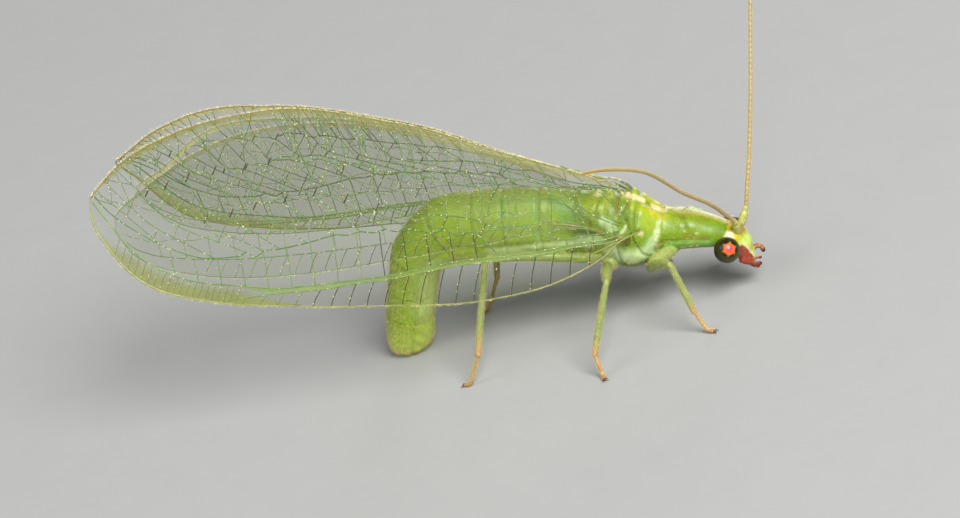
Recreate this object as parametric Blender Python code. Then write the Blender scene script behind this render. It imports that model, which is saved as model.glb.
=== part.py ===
# Green lacewing at rest, life size: head low, wings folded as a roof over the back,
# abdomen bent down so that its tip touches the ground.
# Metres, +Z up, +X towards the head, -Y is the animal's right side.

import math

import bmesh
import bpy
import numpy as np
from mathutils import Vector

MM = 0.001
FORWARD = Vector((1.0, 0.0, 0.0))
LEFTWARD = Vector((0.0, 1.0, 0.0))
UPWARD = Vector((0.0, 0.0, 1.0))

# Gaps that keep neighbouring pieces apart
BODY_GAP = 0.25 * MM
LIMB_GAP = 0.08 * MM

# Facets round a section
BODY_SIDES = 20
HEAD_SIDES = 18
LIMB_SIDES = 8
EYE_SEGMENTS = 16
EYE_RINGS = 10
SHARP_ANGLE = math.radians(40.0)

# Domed ends of a limb: how far they reach and how wide they end, as shares of its radius
DOME_REACH = 0.6
DOME_END = 0.5

# Trunk: centre x, y, z, half height and half width in mm, from the tip of the abdomen to the neck
TRUNK_STATIONS = (
    (-1.84, 0.80, 0.00, 0.40, 0.37),
    (-1.74, 0.77, 0.30, 0.49, 0.46),
    (-1.50, 0.66, 0.90, 0.55, 0.51),
    (-1.22, 0.50, 1.48, 0.58, 0.54),
    (-0.90, 0.32, 2.15, 0.59, 0.56),
    (-0.48, 0.14, 2.83, 0.66, 0.60),
    (0.40, 0.00, 3.28, 0.84, 0.66),
    (1.04, 0.00, 3.20, 0.88, 0.68),
    (1.63, 0.00, 3.09, 0.90, 0.68),
    (2.34, 0.00, 2.96, 0.89, 0.66),
    (3.04, 0.00, 2.81, 0.83, 0.62),
    (3.62, 0.00, 2.62, 0.78, 0.62),
    (4.05, 0.00, 2.44, 0.82, 0.70),
    (4.57, 0.00, 2.21, 0.86, 0.78),
    (4.93, 0.00, 2.10, 0.78, 0.74),
    (5.24, 0.00, 2.03, 0.56, 0.60),
    (5.42, 0.00, 1.98, 0.50, 0.57),
    (5.96, 0.00, 1.86, 0.45, 0.54),
    (6.40, 0.00, 1.68, 0.38, 0.46),
)

# Trunk pieces: name, first and last station (as a number along the list), colour
TRUNK_PIECES = (
    ("abdomen_tip", 0.0, 3.6, (0.42, 0.62, 0.10)),
    ("abdomen_bend", 3.6, 6.9, (0.36, 0.54, 0.06)),
    ("abdomen_base", 6.9, 10.6, (0.40, 0.60, 0.06)),
    ("metathorax", 10.6, 12.2, (0.34, 0.56, 0.12)),
    ("mesothorax", 12.2, 15.1, (0.36, 0.58, 0.10)),
    ("prothorax", 15.1, 17.8, (0.32, 0.60, 0.05)),
)
RINGS_PER_STATION = 3
SPLINE_STEPS = 12
PLACE_STEP = 0.002
ABDOMEN_END = 10.6
ABDOMEN_SEGMENT_COUNT = 9
SEGMENT_GROOVE = 0.04
# Swellings of the thorax: middle and spread along the stations, angle round the section
# from the left side up over the back, spread of that angle, height as a share
THORAX_SWELLINGS = (
    (11.6, 0.35, 62.0, 24.0, 0.10),
    (11.6, 0.35, 118.0, 24.0, 0.10),
    (13.2, 0.50, 60.0, 24.0, 0.10),
    (13.2, 0.50, 120.0, 24.0, 0.10),
    (13.5, 0.70, 0.0, 30.0, 0.07),
    (13.5, 0.70, 180.0, 30.0, 0.07),
    (13.2, 0.60, 240.0, 26.0, 0.06),
    (13.2, 0.60, 300.0, 26.0, 0.06),
    (16.4, 0.80, 90.0, 40.0, 0.05),
)

# Head: centre x, z, half depth and half width in mm, from the crown down to the labrum
HEAD_STATIONS = (
    (6.86, 1.90, 0.10, 0.14),
    (6.85, 1.82, 0.20, 0.28),
    (6.84, 1.62, 0.33, 0.42),
    (6.87, 1.34, 0.40, 0.46),
    (6.96, 1.08, 0.33, 0.38),
    (7.05, 0.87, 0.23, 0.29),
    (7.12, 0.72, 0.16, 0.22),
    (7.16, 0.60, 0.10, 0.15),
    (7.18, 0.55, 0.06, 0.09),
)
RINGS_PER_HEAD_STATION = 2

# Eyes
EYE_CENTRE = (6.76, 0.52, 1.34)
EYE_RADIUS = 0.31 * MM
SOCKET_RADIUS = EYE_RADIUS + LIMB_GAP

# Mouth feelers: start, middle, end in mm, with radii, for one side
PALPS = (
    ((7.05, 0.16, 0.78), (7.22, 0.30, 0.62), (7.46, 0.26, 0.60), 0.11, 0.07),
    ((7.06, 0.08, 0.70), (7.14, 0.13, 0.48), (7.30, 0.12, 0.38), 0.10, 0.06),
)

# Antennae: points in mm from the scape to the tip, and radii at the scape, along it and at the tip
ANTENNA_LEFT_LINE = (
    (7.31, 0.33, 1.90),
    (7.50, 0.45, 2.40),
    (7.76, 0.72, 3.12),
    (8.14, 1.20, 4.35),
    (8.62, 1.98, 6.10),
    (9.10, 2.75, 7.80),
    (9.70, 3.50, 9.90),
)
ANTENNA_RIGHT_LINE = (
    (7.26, -0.36, 1.92),
    (7.22, -0.70, 2.28),
    (7.11, -1.70, 3.20),
    (6.92, -3.20, 4.55),
    (6.71, -4.70, 5.90),
    (6.36, -6.30, 6.99),
    (6.05, -7.60, 7.70),
)
ANTENNA_SCAPE_RADIUS = 0.22 * MM
ANTENNA_RADIUS = 0.24 * MM
ANTENNA_TIP_RADIUS = 0.07 * MM
ANTENNA_RINGS_PER_POINT = 3
# Shares of its length by which an antenna is at its full radius, and from which it tapers
ANTENNA_FULL_SHARE = 0.25
ANTENNA_TAPER_SHARE = 0.6

# Legs: place along the trunk and angle round it where the left one grows,
# then trochanter, knee, ankle and toe in mm
LEGS = {
    "front": ((16.5, 303.0), (4.92, 0.56, 1.26), (5.69, 1.80, 1.97), (5.84, 1.77, 0.59), (6.02, 1.84, 0.14)),
    "middle": ((13.6, 303.0), (4.12, 0.74, 1.48), (4.23, 2.25, 2.13), (3.48, 2.70, 0.57), (3.53, 2.84, 0.14)),
    "hind": ((10.9, 303.0), (3.28, 0.66, 1.78), (1.33, 1.04, 2.84), (0.54, 1.83, 0.79), (0.10, 1.75, 0.14)),
}
# Legs of the left side that stand in another way than those of the right
LEFT_LEGS = {
    "front": ((16.5, 303.0), (4.92, 0.56, 1.26), (4.60, 1.75, 2.10), (4.38, 1.93, 0.60), (4.50, 2.00, 0.14)),
}
# Leg parts: name, radius in the middle and radius at the ends
LEG_PARTS = (
    ("coxa", 0.24 * MM, 0.22 * MM),
    ("femur", 0.24 * MM, 0.20 * MM),
    ("tibia", 0.23 * MM, 0.21 * MM),
    ("tarsus", 0.20 * MM, 0.17 * MM),
)
LEG_PART_SHARES = (0.0, 0.25, 0.6, 1.0)
FOOT_LENGTH = 0.16 * MM
FOOT_RADIUS = 0.17 * MM
PALP_STEPS = 3

# Wings: the roof that they make over the back, as flat planes that bulge out round
# the abdomen, run in along the back behind the thorax, and curve in to their roots (mm)
WING_PITCH = math.radians(14.0)
WING_ROOF = math.radians(70.0)
WING_PLANE_POINT = (5.00, 1.31, 2.88)
WING_BULGE = 0.40
WING_BULGE_PLACE = 3.6
WING_BULGE_SPREAD = 2.6
WING_BULGE_TOP = 2.2
WING_BULGE_DEPTH = 2.6
# How far a wing's hind edge runs in over the back, by distance from the root, so that
# both forewings meet there; where the run begins, and how far from it the solids stay
WING_TUCK = (
    (0.0, 0.45), (0.43, 0.72), (0.84, 0.84), (1.3, 0.855), (2.22, 0.79), (3.14, 0.673), (4.06, 0.56),
    (4.98, 0.474), (5.9, 0.405), (6.85, 0.336), (7.8, 0.283), (8.3, 0.255), (8.75, 0.22), (9.2, 0.15),
    (9.66, 0.11), (10.1, 0.09), (10.6, 0.09), (11.1, 0.125), (11.6, 0.16), (12.1, 0.24), (12.5, 0.34),
    (12.92, 0.42),
)
WING_TUCK_FROM = -0.3
WING_TUCK_CLEAR = 0.13
HINDWING_CLOSER = 0.42
HINDWING_CLOSER_FROM = 0.5
HINDWING_CLOSER_DEPTH = 1.5
WING_ROOT_LENGTH = 0.55
MEMBRANE_HALF = 0.20
MARGIN_HALF = 0.12
TIP_HALF = 0.10
MARGIN_SHARE = 0.12
TIP_SHARE = 0.12
BACK_THINNING = 0.8
BACK_THIN_FROM = 0.55
BACK_THIN_SHARE = 0.4
VEIN_HEIGHT = 0.07
VEIN_HALF_WIDTH = 0.10
VEIN_HALF_SHARE_MAX = 0.035

# Shares of a wing's length at which the place of each vein across the wing is given
VEIN_PLACES = (0.0, 0.15, 0.31, 0.46, 0.62, 0.78, 0.88, 1.0)

# Forewing: edges as (distance from the root, height across the wing) in mm, veins as shares
# across the wing from its front edge, and the place and angle on the trunk where it grows
FOREWING = {
    "front_edge": (
        (0.0, -0.20), (0.5, -0.45), (1.1, -0.90), (1.8, -1.23), (3.2, -1.56), (5.8, -1.74), (8.2, -1.75),
        (9.6, -1.69), (10.6, -1.53), (11.4, -1.29), (12.0, -0.87), (12.5, -0.25), (12.8, 0.24),
        (12.92, 0.55),
    ),
    "back_edge": (
        (0.0, 0.20), (0.43, 0.857), (0.84, 1.0), (1.3, 1.17), (2.22, 1.486), (3.14, 1.826), (4.06, 2.14),
        (4.98, 2.38), (5.91, 2.565), (6.85, 2.76), (7.79, 2.878), (8.26, 2.885), (8.74, 2.84),
        (9.66, 2.70), (10.6, 2.44), (11.1, 2.23), (11.6, 1.985), (12.1, 1.66), (12.5, 1.28), (12.92, 0.80),
    ),
    "veins": (
        (0.26, 0.29, 0.26, 0.17, 0.11, 0.09, 0.09, 0.14),
        (0.46, 0.46, 0.44, 0.41, 0.32, 0.25, 0.24, 0.32),
        (0.64, 0.64, 0.74, 0.76, 0.78, 0.74, 0.68, 0.62),
        (0.82, 0.85, 0.89, 0.90, 0.90, 0.89, 0.87, 0.82),
    ),
    "inset": 0.0,
    "root": (13.75, 48.0),
    "colour": (0.55, 0.66, 0.42),
}

# Hindwing: the same, set in from the forewing towards the body
HINDWING = {
    "front_edge": (
        (1.15, -0.20), (2.0, -0.45), (3.0, -0.60), (4.5, -0.72), (6.0, -0.92), (8.0, -1.13), (10.0, -1.15),
        (11.0, -1.00), (11.6, -0.82), (12.1, -0.47), (12.40, 0.00),
    ),
    "back_edge": (
        (1.15, 0.12), (2.0, 0.36), (3.0, 0.72), (4.0, 1.08), (6.0, 1.66), (8.0, 1.94), (9.5, 1.94),
        (10.7, 1.68), (11.5, 1.10), (12.1, 0.60), (12.40, 0.28),
    ),
    "veins": (
        (0.28, 0.24, 0.19, 0.13, 0.10, 0.09, 0.10, 0.16),
        (0.50, 0.50, 0.46, 0.40, 0.34, 0.30, 0.30, 0.36),
        (0.72, 0.74, 0.76, 0.76, 0.76, 0.72, 0.68, 0.62),
    ),
    "inset": 0.64,
    "root": (11.75, 48.0),
    "colour": (0.50, 0.64, 0.44),
}
WING_COLUMNS = 22
# How much closer together a wing's columns lie towards its tip
COLUMN_EASE = 0.6


def mm(x, y, z):
    return Vector((x * MM, y * MM, z * MM))


def smoothstep(t):
    t = min(max(t, 0.0), 1.0)
    return t * t * (3.0 - 2.0 * t)


def smooth_line(points, count):
    # A curve through the points, with `count` steps between each two
    points = [Vector(p) for p in points]
    first = points[0] * 2 - points[1]
    last = points[-1] * 2 - points[-2]
    padded = [first] + points + [last]
    line = []
    for i in range(len(points) - 1):
        for step in range(count):
            line.append(spline_point(padded[i:i + 4], step / count))
    line.append(points[-1].copy())
    return line


def spline_point(four, t):
    a, b, c, d = four
    square = 2 * a - 5 * b + 4 * c - d
    cube = 3 * b - a - 3 * c + d
    return 0.5 * (2 * b + (c - a) * t + square * t ** 2 + cube * t ** 3)


def edge_height(edge, distance):
    # Height of a wing's edge at a distance from the root, on a smooth curve through its points
    xs = [p[0] for p in edge]
    ys = [p[1] for p in edge]
    slopes = np.gradient(ys, xs)
    i = min(max(np.searchsorted(xs, distance) - 1, 0), len(xs) - 2)
    span = xs[i + 1] - xs[i]
    t = min(max((distance - xs[i]) / span, 0.0), 1.0)
    return (
        (2 * t ** 3 - 3 * t ** 2 + 1) * ys[i]
        + (t ** 3 - 2 * t ** 2 + t) * span * slopes[i]
        + (3 * t ** 2 - 2 * t ** 3) * ys[i + 1]
        + (t ** 3 - t ** 2) * span * slopes[i + 1]
    )


def clear_scene():
    for item in list(bpy.data.objects):
        bpy.data.objects.remove(item)


def paint(item, colour, roughness=0.5, alpha=1.0):
    material = bpy.data.materials.new(item.name)
    material.use_nodes = True
    shader = material.node_tree.nodes["Principled BSDF"]
    shader.inputs["Base Color"].default_value = (*colour, 1.0)
    shader.inputs["Roughness"].default_value = roughness
    shader.inputs["Alpha"].default_value = alpha
    item.data.materials.clear()
    item.data.materials.append(material)


def object_from(bm, name):
    mesh = bpy.data.meshes.new(name)
    bm.to_mesh(mesh)
    bm.free()
    item = bpy.data.objects.new(name, mesh)
    bpy.context.scene.collection.objects.link(item)
    return item


def loft(name, rings):
    # A closed skin over rings of points, all with the same number of points
    bm = bmesh.new()
    loops = [[bm.verts.new(point) for point in ring] for ring in rings]
    sides = len(loops[0])
    for lower, upper in zip(loops, loops[1:]):
        for i in range(sides):
            j = (i + 1) % sides
            bm.faces.new((lower[i], lower[j], upper[j], upper[i]))
    bm.faces.new(loops[0])
    bm.faces.new(loops[-1])
    bmesh.ops.triangulate(bm, faces=bm.faces)
    bmesh.ops.recalc_face_normals(bm, faces=bm.faces)
    return object_from(bm, name)


def oval(centre, side, up, half_width, half_height, sides):
    points = []
    for i in range(sides):
        angle = 2 * math.pi * i / sides
        points.append(centre + side * (half_width * math.cos(angle)) + up * (half_height * math.sin(angle)))
    return points


def tube(name, line, radii, sides):
    # A round limb along a line, with domed ends
    rings = []
    side = None
    for i, point in enumerate(line):
        tangent = (line[min(i + 1, len(line) - 1)] - line[max(i - 1, 0)]).normalized()
        if side is None:
            side = tangent.orthogonal().normalized()
        side = (side - tangent * side.dot(tangent)).normalized()
        up = tangent.cross(side)
        if i == 0:
            dome = radii[0] * DOME_END
            rings.append(oval(point - tangent * radii[0] * DOME_REACH, side, up, dome, dome, sides))
        rings.append(oval(point, side, up, radii[i], radii[i], sides))
        if i == len(line) - 1:
            dome = radii[-1] * DOME_END
            rings.append(oval(point + tangent * radii[-1] * DOME_REACH, side, up, dome, dome, sides))
    return loft(name, rings)


def join(name, pieces, subtract=()):
    # One closed body from pieces that run into one another, with cutters taken away
    base = pieces[0]
    base.name = name
    if len(pieces) > 1:
        combine(base, pieces[1:], "UNION")
    if subtract:
        combine(base, subtract, "DIFFERENCE")
    keep_largest(base)
    return base


def combine(base, others, operation):
    group = bpy.data.collections.new(operation)
    bpy.context.scene.collection.children.link(group)
    for other in others:
        group.objects.link(other)
    modifier = base.modifiers.new(operation, "BOOLEAN")
    modifier.operation = operation
    modifier.operand_type = "COLLECTION"
    modifier.collection = group
    modifier.solver = "EXACT"
    bpy.context.view_layer.update()
    evaluated = base.evaluated_get(bpy.context.evaluated_depsgraph_get())
    mesh = bpy.data.meshes.new_from_object(evaluated)
    base.modifiers.clear()
    base.data = mesh
    for other in others:
        bpy.data.objects.remove(other)
    bpy.data.collections.remove(group)


def keep_largest(item):
    bm = bmesh.new()
    bm.from_mesh(item.data)
    todo = set(bm.verts)
    islands = []
    while todo:
        stack = [todo.pop()]
        island = set(stack)
        while stack:
            for edge in stack.pop().link_edges:
                for vert in edge.verts:
                    if vert not in island:
                        island.add(vert)
                        todo.discard(vert)
                        stack.append(vert)
        islands.append(island)
    islands.sort(key=len)
    for island in islands[:-1]:
        bmesh.ops.delete(bm, geom=list(island), context="VERTS")
    bmesh.ops.triangulate(bm, faces=bm.faces)
    bm.to_mesh(item.data)
    bm.free()


def smooth(item):
    item.data.shade_smooth()
    item.data.set_sharp_from_angle(angle=SHARP_ANGLE)


# Trunk


def trunk_line():
    stations = [Vector((x, y, z)) for x, y, z, _, _ in TRUNK_STATIONS]
    sizes = [Vector((high, wide, 0.0)) for _, _, _, high, wide in TRUNK_STATIONS]
    centres = smooth_line(stations, SPLINE_STEPS)
    halves = smooth_line(sizes, SPLINE_STEPS)
    return centres, halves


def trunk_at(centres, halves, place):
    index = place * SPLINE_STEPS
    low = min(int(index), len(centres) - 2)
    part = index - low
    centre = centres[low].lerp(centres[low + 1], part)
    half = halves[low].lerp(halves[low + 1], part)
    tangent = (centres[min(low + 2, len(centres) - 1)] - centres[max(low - 1, 0)]).normalized()
    return centre, half, tangent


def trunk_swell(place, angle):
    # The abdomen is drawn in at the grooves between its rings, and the thorax has lobes
    if place < ABDOMEN_END:
        phase = place / ABDOMEN_END * ABDOMEN_SEGMENT_COUNT
        return 1.0 - SEGMENT_GROOVE * abs(math.cos(math.pi * phase)) ** 6
    swell = 1.0
    for middle, spread, direction, width, height in THORAX_SWELLINGS:
        turn = (angle - direction + 180.0) % 360.0 - 180.0
        swell += height * math.exp(-((place - middle) / spread) ** 2 - (turn / width) ** 2)
    return swell


def trunk_ring(centres, halves, place):
    centre, half, tangent = trunk_at(centres, halves, place)
    if place == 0.0:
        tangent = UPWARD
    side = (LEFTWARD - tangent * tangent.y).normalized()
    up = tangent.cross(side)
    ring = oval(centre * MM, side, up, half.y * MM, half.x * MM, BODY_SIDES)
    for i, point in enumerate(ring):
        swell = trunk_swell(place, 360.0 * i / BODY_SIDES)
        point += (point - centre * MM) * (swell - 1.0)
        point.z = max(point.z, 0.0)
    return ring


def on_trunk(place, angle, out):
    # The point that stands a distance in metres out of the trunk's surface
    centres, halves = trunk_line()
    centre, half, tangent = trunk_at(centres, halves, place)
    up = tangent.cross(LEFTWARD)
    turn = math.radians(angle)
    swell = trunk_swell(place, angle % 360.0)
    arm = LEFTWARD * (half.y * swell * math.cos(turn)) + up * (half.x * swell * math.sin(turn))
    normal = LEFTWARD * (half.x * math.cos(turn)) + up * (half.y * math.sin(turn))
    return (centre + arm) * MM + normal.normalized() * out


def place_after(centres, halves, place, distance):
    # The place on the trunk that lies a distance in metres further on
    centre, _, _ = trunk_at(centres, halves, place)
    step = math.copysign(PLACE_STEP, distance)
    other = place
    while (trunk_at(centres, halves, other)[0] - centre).length * MM < abs(distance):
        other += step
    return other


def make_trunk():
    centres, halves = trunk_line()
    last = len(TRUNK_PIECES) - 1
    items = []
    for number, (name, start, end, colour) in enumerate(TRUNK_PIECES):
        if number > 0:
            start = place_after(centres, halves, start, BODY_GAP / 2)
        if number < last:
            end = place_after(centres, halves, end, -BODY_GAP / 2)
        count = max(4, round((end - start) * RINGS_PER_STATION))
        rings = [trunk_ring(centres, halves, start + (end - start) * i / count) for i in range(count + 1)]
        item = loft(name, rings)
        paint(item, colour)
        items.append(item)
    return items


# Head


def ball(name, centre, radius):
    bpy.ops.mesh.primitive_uv_sphere_add(
        segments=EYE_SEGMENTS, ring_count=EYE_RINGS, radius=radius, location=centre,
    )
    item = bpy.context.object
    item.name = name
    return item


def head_capsule():
    centres = smooth_line([(x, 0.0, z) for x, z, _, _ in HEAD_STATIONS], RINGS_PER_HEAD_STATION)
    halves = smooth_line([(deep, wide, 0.0) for _, _, deep, wide in HEAD_STATIONS], RINGS_PER_HEAD_STATION)
    rings = []
    for centre, half in zip(centres, halves):
        rings.append(oval(centre * MM, FORWARD, LEFTWARD, half.x * MM, half.y * MM, HEAD_SIDES))
    return loft("capsule", rings)


def palp(start, middle, end, thick, thin, mirror):
    points = [mm(x, y * mirror, z) for x, y, z in (start, middle, end)]
    line = smooth_line(points, PALP_STEPS)
    radii = np.linspace(thick, thin, len(line)) * MM
    return tube("palp", line, radii, LIMB_SIDES)


def make_head():
    pieces = [head_capsule()]
    sockets = []
    x, y, z = EYE_CENTRE
    for mirror in (-1, 1):
        for start, middle, end, thick, thin in PALPS:
            pieces.append(palp(start, middle, end, thick, thin, mirror))
        sockets.append(ball("socket", mm(x, y * mirror, z), SOCKET_RADIUS))
    head = join("head", pieces, sockets)
    paint(head, (0.45, 0.60, 0.15))
    return [head]


def make_eyes():
    items = []
    x, y, z = EYE_CENTRE
    for name, mirror in (("eye_right", -1), ("eye_left", 1)):
        eye = ball(name, mm(x, y * mirror, z), EYE_RADIUS)
        paint(eye, (0.05, 0.03, 0.01), roughness=0.1)
        items.append(eye)
    return items


def make_antennae():
    items = []
    for name, points in (("antenna_right", ANTENNA_RIGHT_LINE), ("antenna_left", ANTENNA_LEFT_LINE)):
        line = smooth_line([mm(*p) for p in points], ANTENNA_RINGS_PER_POINT)
        count = len(line) - 1
        radii = []
        for i in range(count + 1):
            share = i / count
            full = min(share / ANTENNA_FULL_SHARE, 1.0)
            start = ANTENNA_SCAPE_RADIUS + (ANTENNA_RADIUS - ANTENNA_SCAPE_RADIUS) * full
            taper = smoothstep((share - ANTENNA_TAPER_SHARE) / (1.0 - ANTENNA_TAPER_SHARE))
            radii.append(start + (ANTENNA_TIP_RADIUS - start) * taper)
        antenna = tube(name, line, radii, LIMB_SIDES)
        paint(antenna, (0.50, 0.40, 0.28))
        items.append(antenna)
    return items


# Legs


def leg_part(start, end, middle_radius, end_radius):
    line = [start.lerp(end, share) for share in LEG_PART_SHARES]
    radii = [end_radius, middle_radius, middle_radius, end_radius]
    return tube("leg_part", line, radii, LIMB_SIDES)


def make_leg(name, root, points, mirror):
    start = on_trunk(*root, LIMB_GAP + LEG_PARTS[0][2])
    joints = [Vector((start.x, start.y * mirror, start.z))]
    joints += [mm(x, y * mirror, z) for x, y, z in points]
    pieces = []
    for start, end, (_, middle, ends) in zip(joints, joints[1:], LEG_PARTS):
        pieces.append(leg_part(start, end, middle, ends))
    toe = joints[-1]
    ahead = Vector(((toe - joints[-2]).x, (toe - joints[-2]).y, 0.0)).normalized()
    pieces.append(leg_part(toe, toe + ahead * FOOT_LENGTH, FOOT_RADIUS, FOOT_RADIUS))
    leg = join(name, pieces)
    flatten_foot(leg)
    paint(leg, (0.42, 0.55, 0.20))
    return leg


def flatten_foot(leg):
    # The sole is cut flat where the foot stands on the ground
    bm = bmesh.new()
    bm.from_mesh(leg.data)
    cut = bmesh.ops.bisect_plane(
        bm, geom=bm.verts[:] + bm.edges[:] + bm.faces[:], dist=1e-7,
        plane_co=(0.0, 0.0, 0.0), plane_no=UPWARD, clear_inner=True,
    )
    edges = [g for g in cut["geom_cut"] if isinstance(g, bmesh.types.BMEdge)]
    bmesh.ops.holes_fill(bm, edges=edges)
    bmesh.ops.triangulate(bm, faces=bm.faces)
    bmesh.ops.recalc_face_normals(bm, faces=bm.faces)
    bm.to_mesh(leg.data)
    bm.free()


def make_legs():
    items = []
    for pair, (root, *points) in LEGS.items():
        for side, mirror in (("right", -1), ("left", 1)):
            if side == "left" and pair in LEFT_LEGS:
                root, *points = LEFT_LEGS[pair]
            items.append(make_leg(f"leg_{pair}_{side}", root, points, mirror))
    return items


# Wings


def wing_axes(mirror):
    along = Vector((-math.cos(WING_PITCH), 0.0, math.sin(WING_PITCH)))
    top = Vector((math.sin(WING_PITCH), 0.0, math.cos(WING_PITCH)))
    outward = Vector((0.0, mirror, 0.0))
    across = top * math.sin(WING_ROOF) - outward * math.cos(WING_ROOF)
    normal = top * math.cos(WING_ROOF) + outward * math.sin(WING_ROOF)
    return along, across, normal


def sheet_offset(wing, u, v):
    # How far a wing's sheet stands out of its flat plane: out round the abdomen, and in
    # along the back; the hindwing lies inside the forewing, closer to it along the back
    bulge = WING_BULGE * math.exp(-((u - WING_BULGE_PLACE) / WING_BULGE_SPREAD) ** 2)
    bulge *= smoothstep((WING_BULGE_TOP - v) / WING_BULGE_DEPTH)
    places, tucks = zip(*WING_TUCK)
    run = (v - WING_TUCK_FROM) / (edge_height(FOREWING["back_edge"], u) - WING_TUCK_FROM)
    back = max(float(np.interp(u, places, tucks)) - WING_TUCK_CLEAR, 0.0) * min(max(run, 0.0), 1.0) ** 2
    closer = 1.0 - HINDWING_CLOSER * smoothstep((v - HINDWING_CLOSER_FROM) / HINDWING_CLOSER_DEPTH)
    return bulge - back - wing["inset"] * closer


def root_offset(wing):
    # The extra offset that brings a wing's root against the side of the thorax
    along, _, normal = wing_axes(1)
    root = on_trunk(*wing["root"], LIMB_GAP + MARGIN_HALF * MM) - mm(*WING_PLANE_POINT)
    return root.dot(normal) / MM - sheet_offset(wing, wing["front_edge"][0][0], 0.0)


def half_thickness(share_along, share_across, ridge):
    # The sheet thins towards its edges, its tip and the back, where the wings come close
    edge = smoothstep(min(share_across, 1.0 - share_across) / MARGIN_SHARE)
    edge *= 1.0 - BACK_THINNING * smoothstep((share_across - BACK_THIN_FROM) / BACK_THIN_SHARE)
    thick = MARGIN_HALF + (MEMBRANE_HALF - MARGIN_HALF) * edge + ridge * VEIN_HEIGHT
    return thick + (TIP_HALF - thick) * smoothstep((share_along - 1.0 + TIP_SHARE) / TIP_SHARE)


def wing_rows(wing, share_along, chord):
    # Shares across the wing, and 1 on the crest of a vein: each vein is a ridge of three rows
    rows = [(0.0, 0.0)]
    half = min(VEIN_HALF_WIDTH / chord, VEIN_HALF_SHARE_MAX)
    for vein in wing["veins"]:
        crest = float(np.interp(share_along, VEIN_PLACES, vein))
        low = crest - half
        rows.append(((rows[-1][0] + low) / 2, 0.0))
        rows += [(low, 0.0), (crest, 1.0), (crest + half, 0.0)]
    rows.append(((rows[-1][0] + 1.0) / 2, 0.0))
    rows.append((1.0, 0.0))
    return rows


def make_wing(name, wing, mirror):
    along, across, normal = wing_axes(mirror)
    x, y, z = WING_PLANE_POINT
    plane_point = mm(x, y * mirror, z)
    at_root = root_offset(wing)
    start = wing["front_edge"][0][0]
    end = wing["front_edge"][-1][0]
    bm = bmesh.new()
    outer = []
    inner = []
    for i in range(WING_COLUMNS + 1):
        t = i / WING_COLUMNS
        share_along = math.sin(t * math.pi / 2) * COLUMN_EASE + t * (1.0 - COLUMN_EASE)
        u = start + (end - start) * share_along
        low = edge_height(wing["front_edge"], u)
        high = edge_height(wing["back_edge"], u)
        outer.append([])
        inner.append([])
        for share_across, ridge in wing_rows(wing, share_along, high - low):
            v = low + (high - low) * share_across
            half = half_thickness(share_along, share_across, ridge)
            middle = sheet_offset(wing, u, v) + at_root * math.exp(-(u - start) / WING_ROOT_LENGTH)
            flat = plane_point + (along * u + across * v) * MM
            outer[-1].append(bm.verts.new(flat + normal * ((middle + half) * MM)))
            inner[-1].append(bm.verts.new(flat + normal * ((middle - half) * MM)))
    sheet_faces(bm, outer, inner)
    bmesh.ops.recalc_face_normals(bm, faces=bm.faces)
    item = object_from(bm, name)
    paint(item, wing["colour"], roughness=0.3, alpha=0.5)
    return item


def sheet_faces(bm, outer, inner):
    # Both faces of a thin sheet are split into triangles alike, and its rim closes it
    for face in (outer, inner):
        for lower, upper in zip(face, face[1:]):
            for j in range(len(lower) - 1):
                bm.faces.new((lower[j], upper[j], upper[j + 1]))
                bm.faces.new((lower[j], upper[j + 1], lower[j + 1]))
    rim_outer = rim(outer)
    rim_inner = rim(inner)
    for i in range(len(rim_outer)):
        j = (i + 1) % len(rim_outer)
        bm.faces.new((rim_outer[i], rim_outer[j], rim_inner[j]))
        bm.faces.new((rim_outer[i], rim_inner[j], rim_inner[i]))


def rim(grid):
    front = [column[0] for column in grid]
    tip = grid[-1][1:-1]
    back = [column[-1] for column in reversed(grid)]
    root = list(reversed(grid[0][1:-1]))
    return front + tip + back + root


def make_wings():
    items = []
    for side, mirror in (("right", -1), ("left", 1)):
        items.append(make_wing(f"forewing_{side}", FOREWING, mirror))
        items.append(make_wing(f"hindwing_{side}", HINDWING, mirror))
    return items


def stand_on_origin(items):
    # The origin is on the ground, under the middle of the whole animal
    bpy.context.view_layer.update()
    corners = [item.matrix_world @ Vector(corner) for item in items for corner in item.bound_box]
    low = [min(corner[axis] for corner in corners) for axis in range(3)]
    high = [max(corner[axis] for corner in corners) for axis in range(3)]
    stand = bpy.data.objects.new("lacewing", None)
    bpy.context.scene.collection.objects.link(stand)
    for item in items:
        item.parent = stand
    stand.location = (-(low[0] + high[0]) / 2, -(low[1] + high[1]) / 2, -low[2])


def main():
    clear_scene()
    items = make_trunk() + make_head() + make_eyes() + make_antennae() + make_legs() + make_wings()
    for item in items:
        smooth(item)
    stand_on_origin(items)
    bpy.context.view_layer.update()


main()
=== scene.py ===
# Green lacewing at rest, life size: its skin, eyes, feelers, net-veined wings and hairs.
# Lengths are millimetres in the animal's own frame, +X to the head and +Y to its left side.

import math
from functools import partial

import bpy
import numpy as np
from mathutils import Matrix, Vector
from mathutils.kdtree import KDTree


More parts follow.
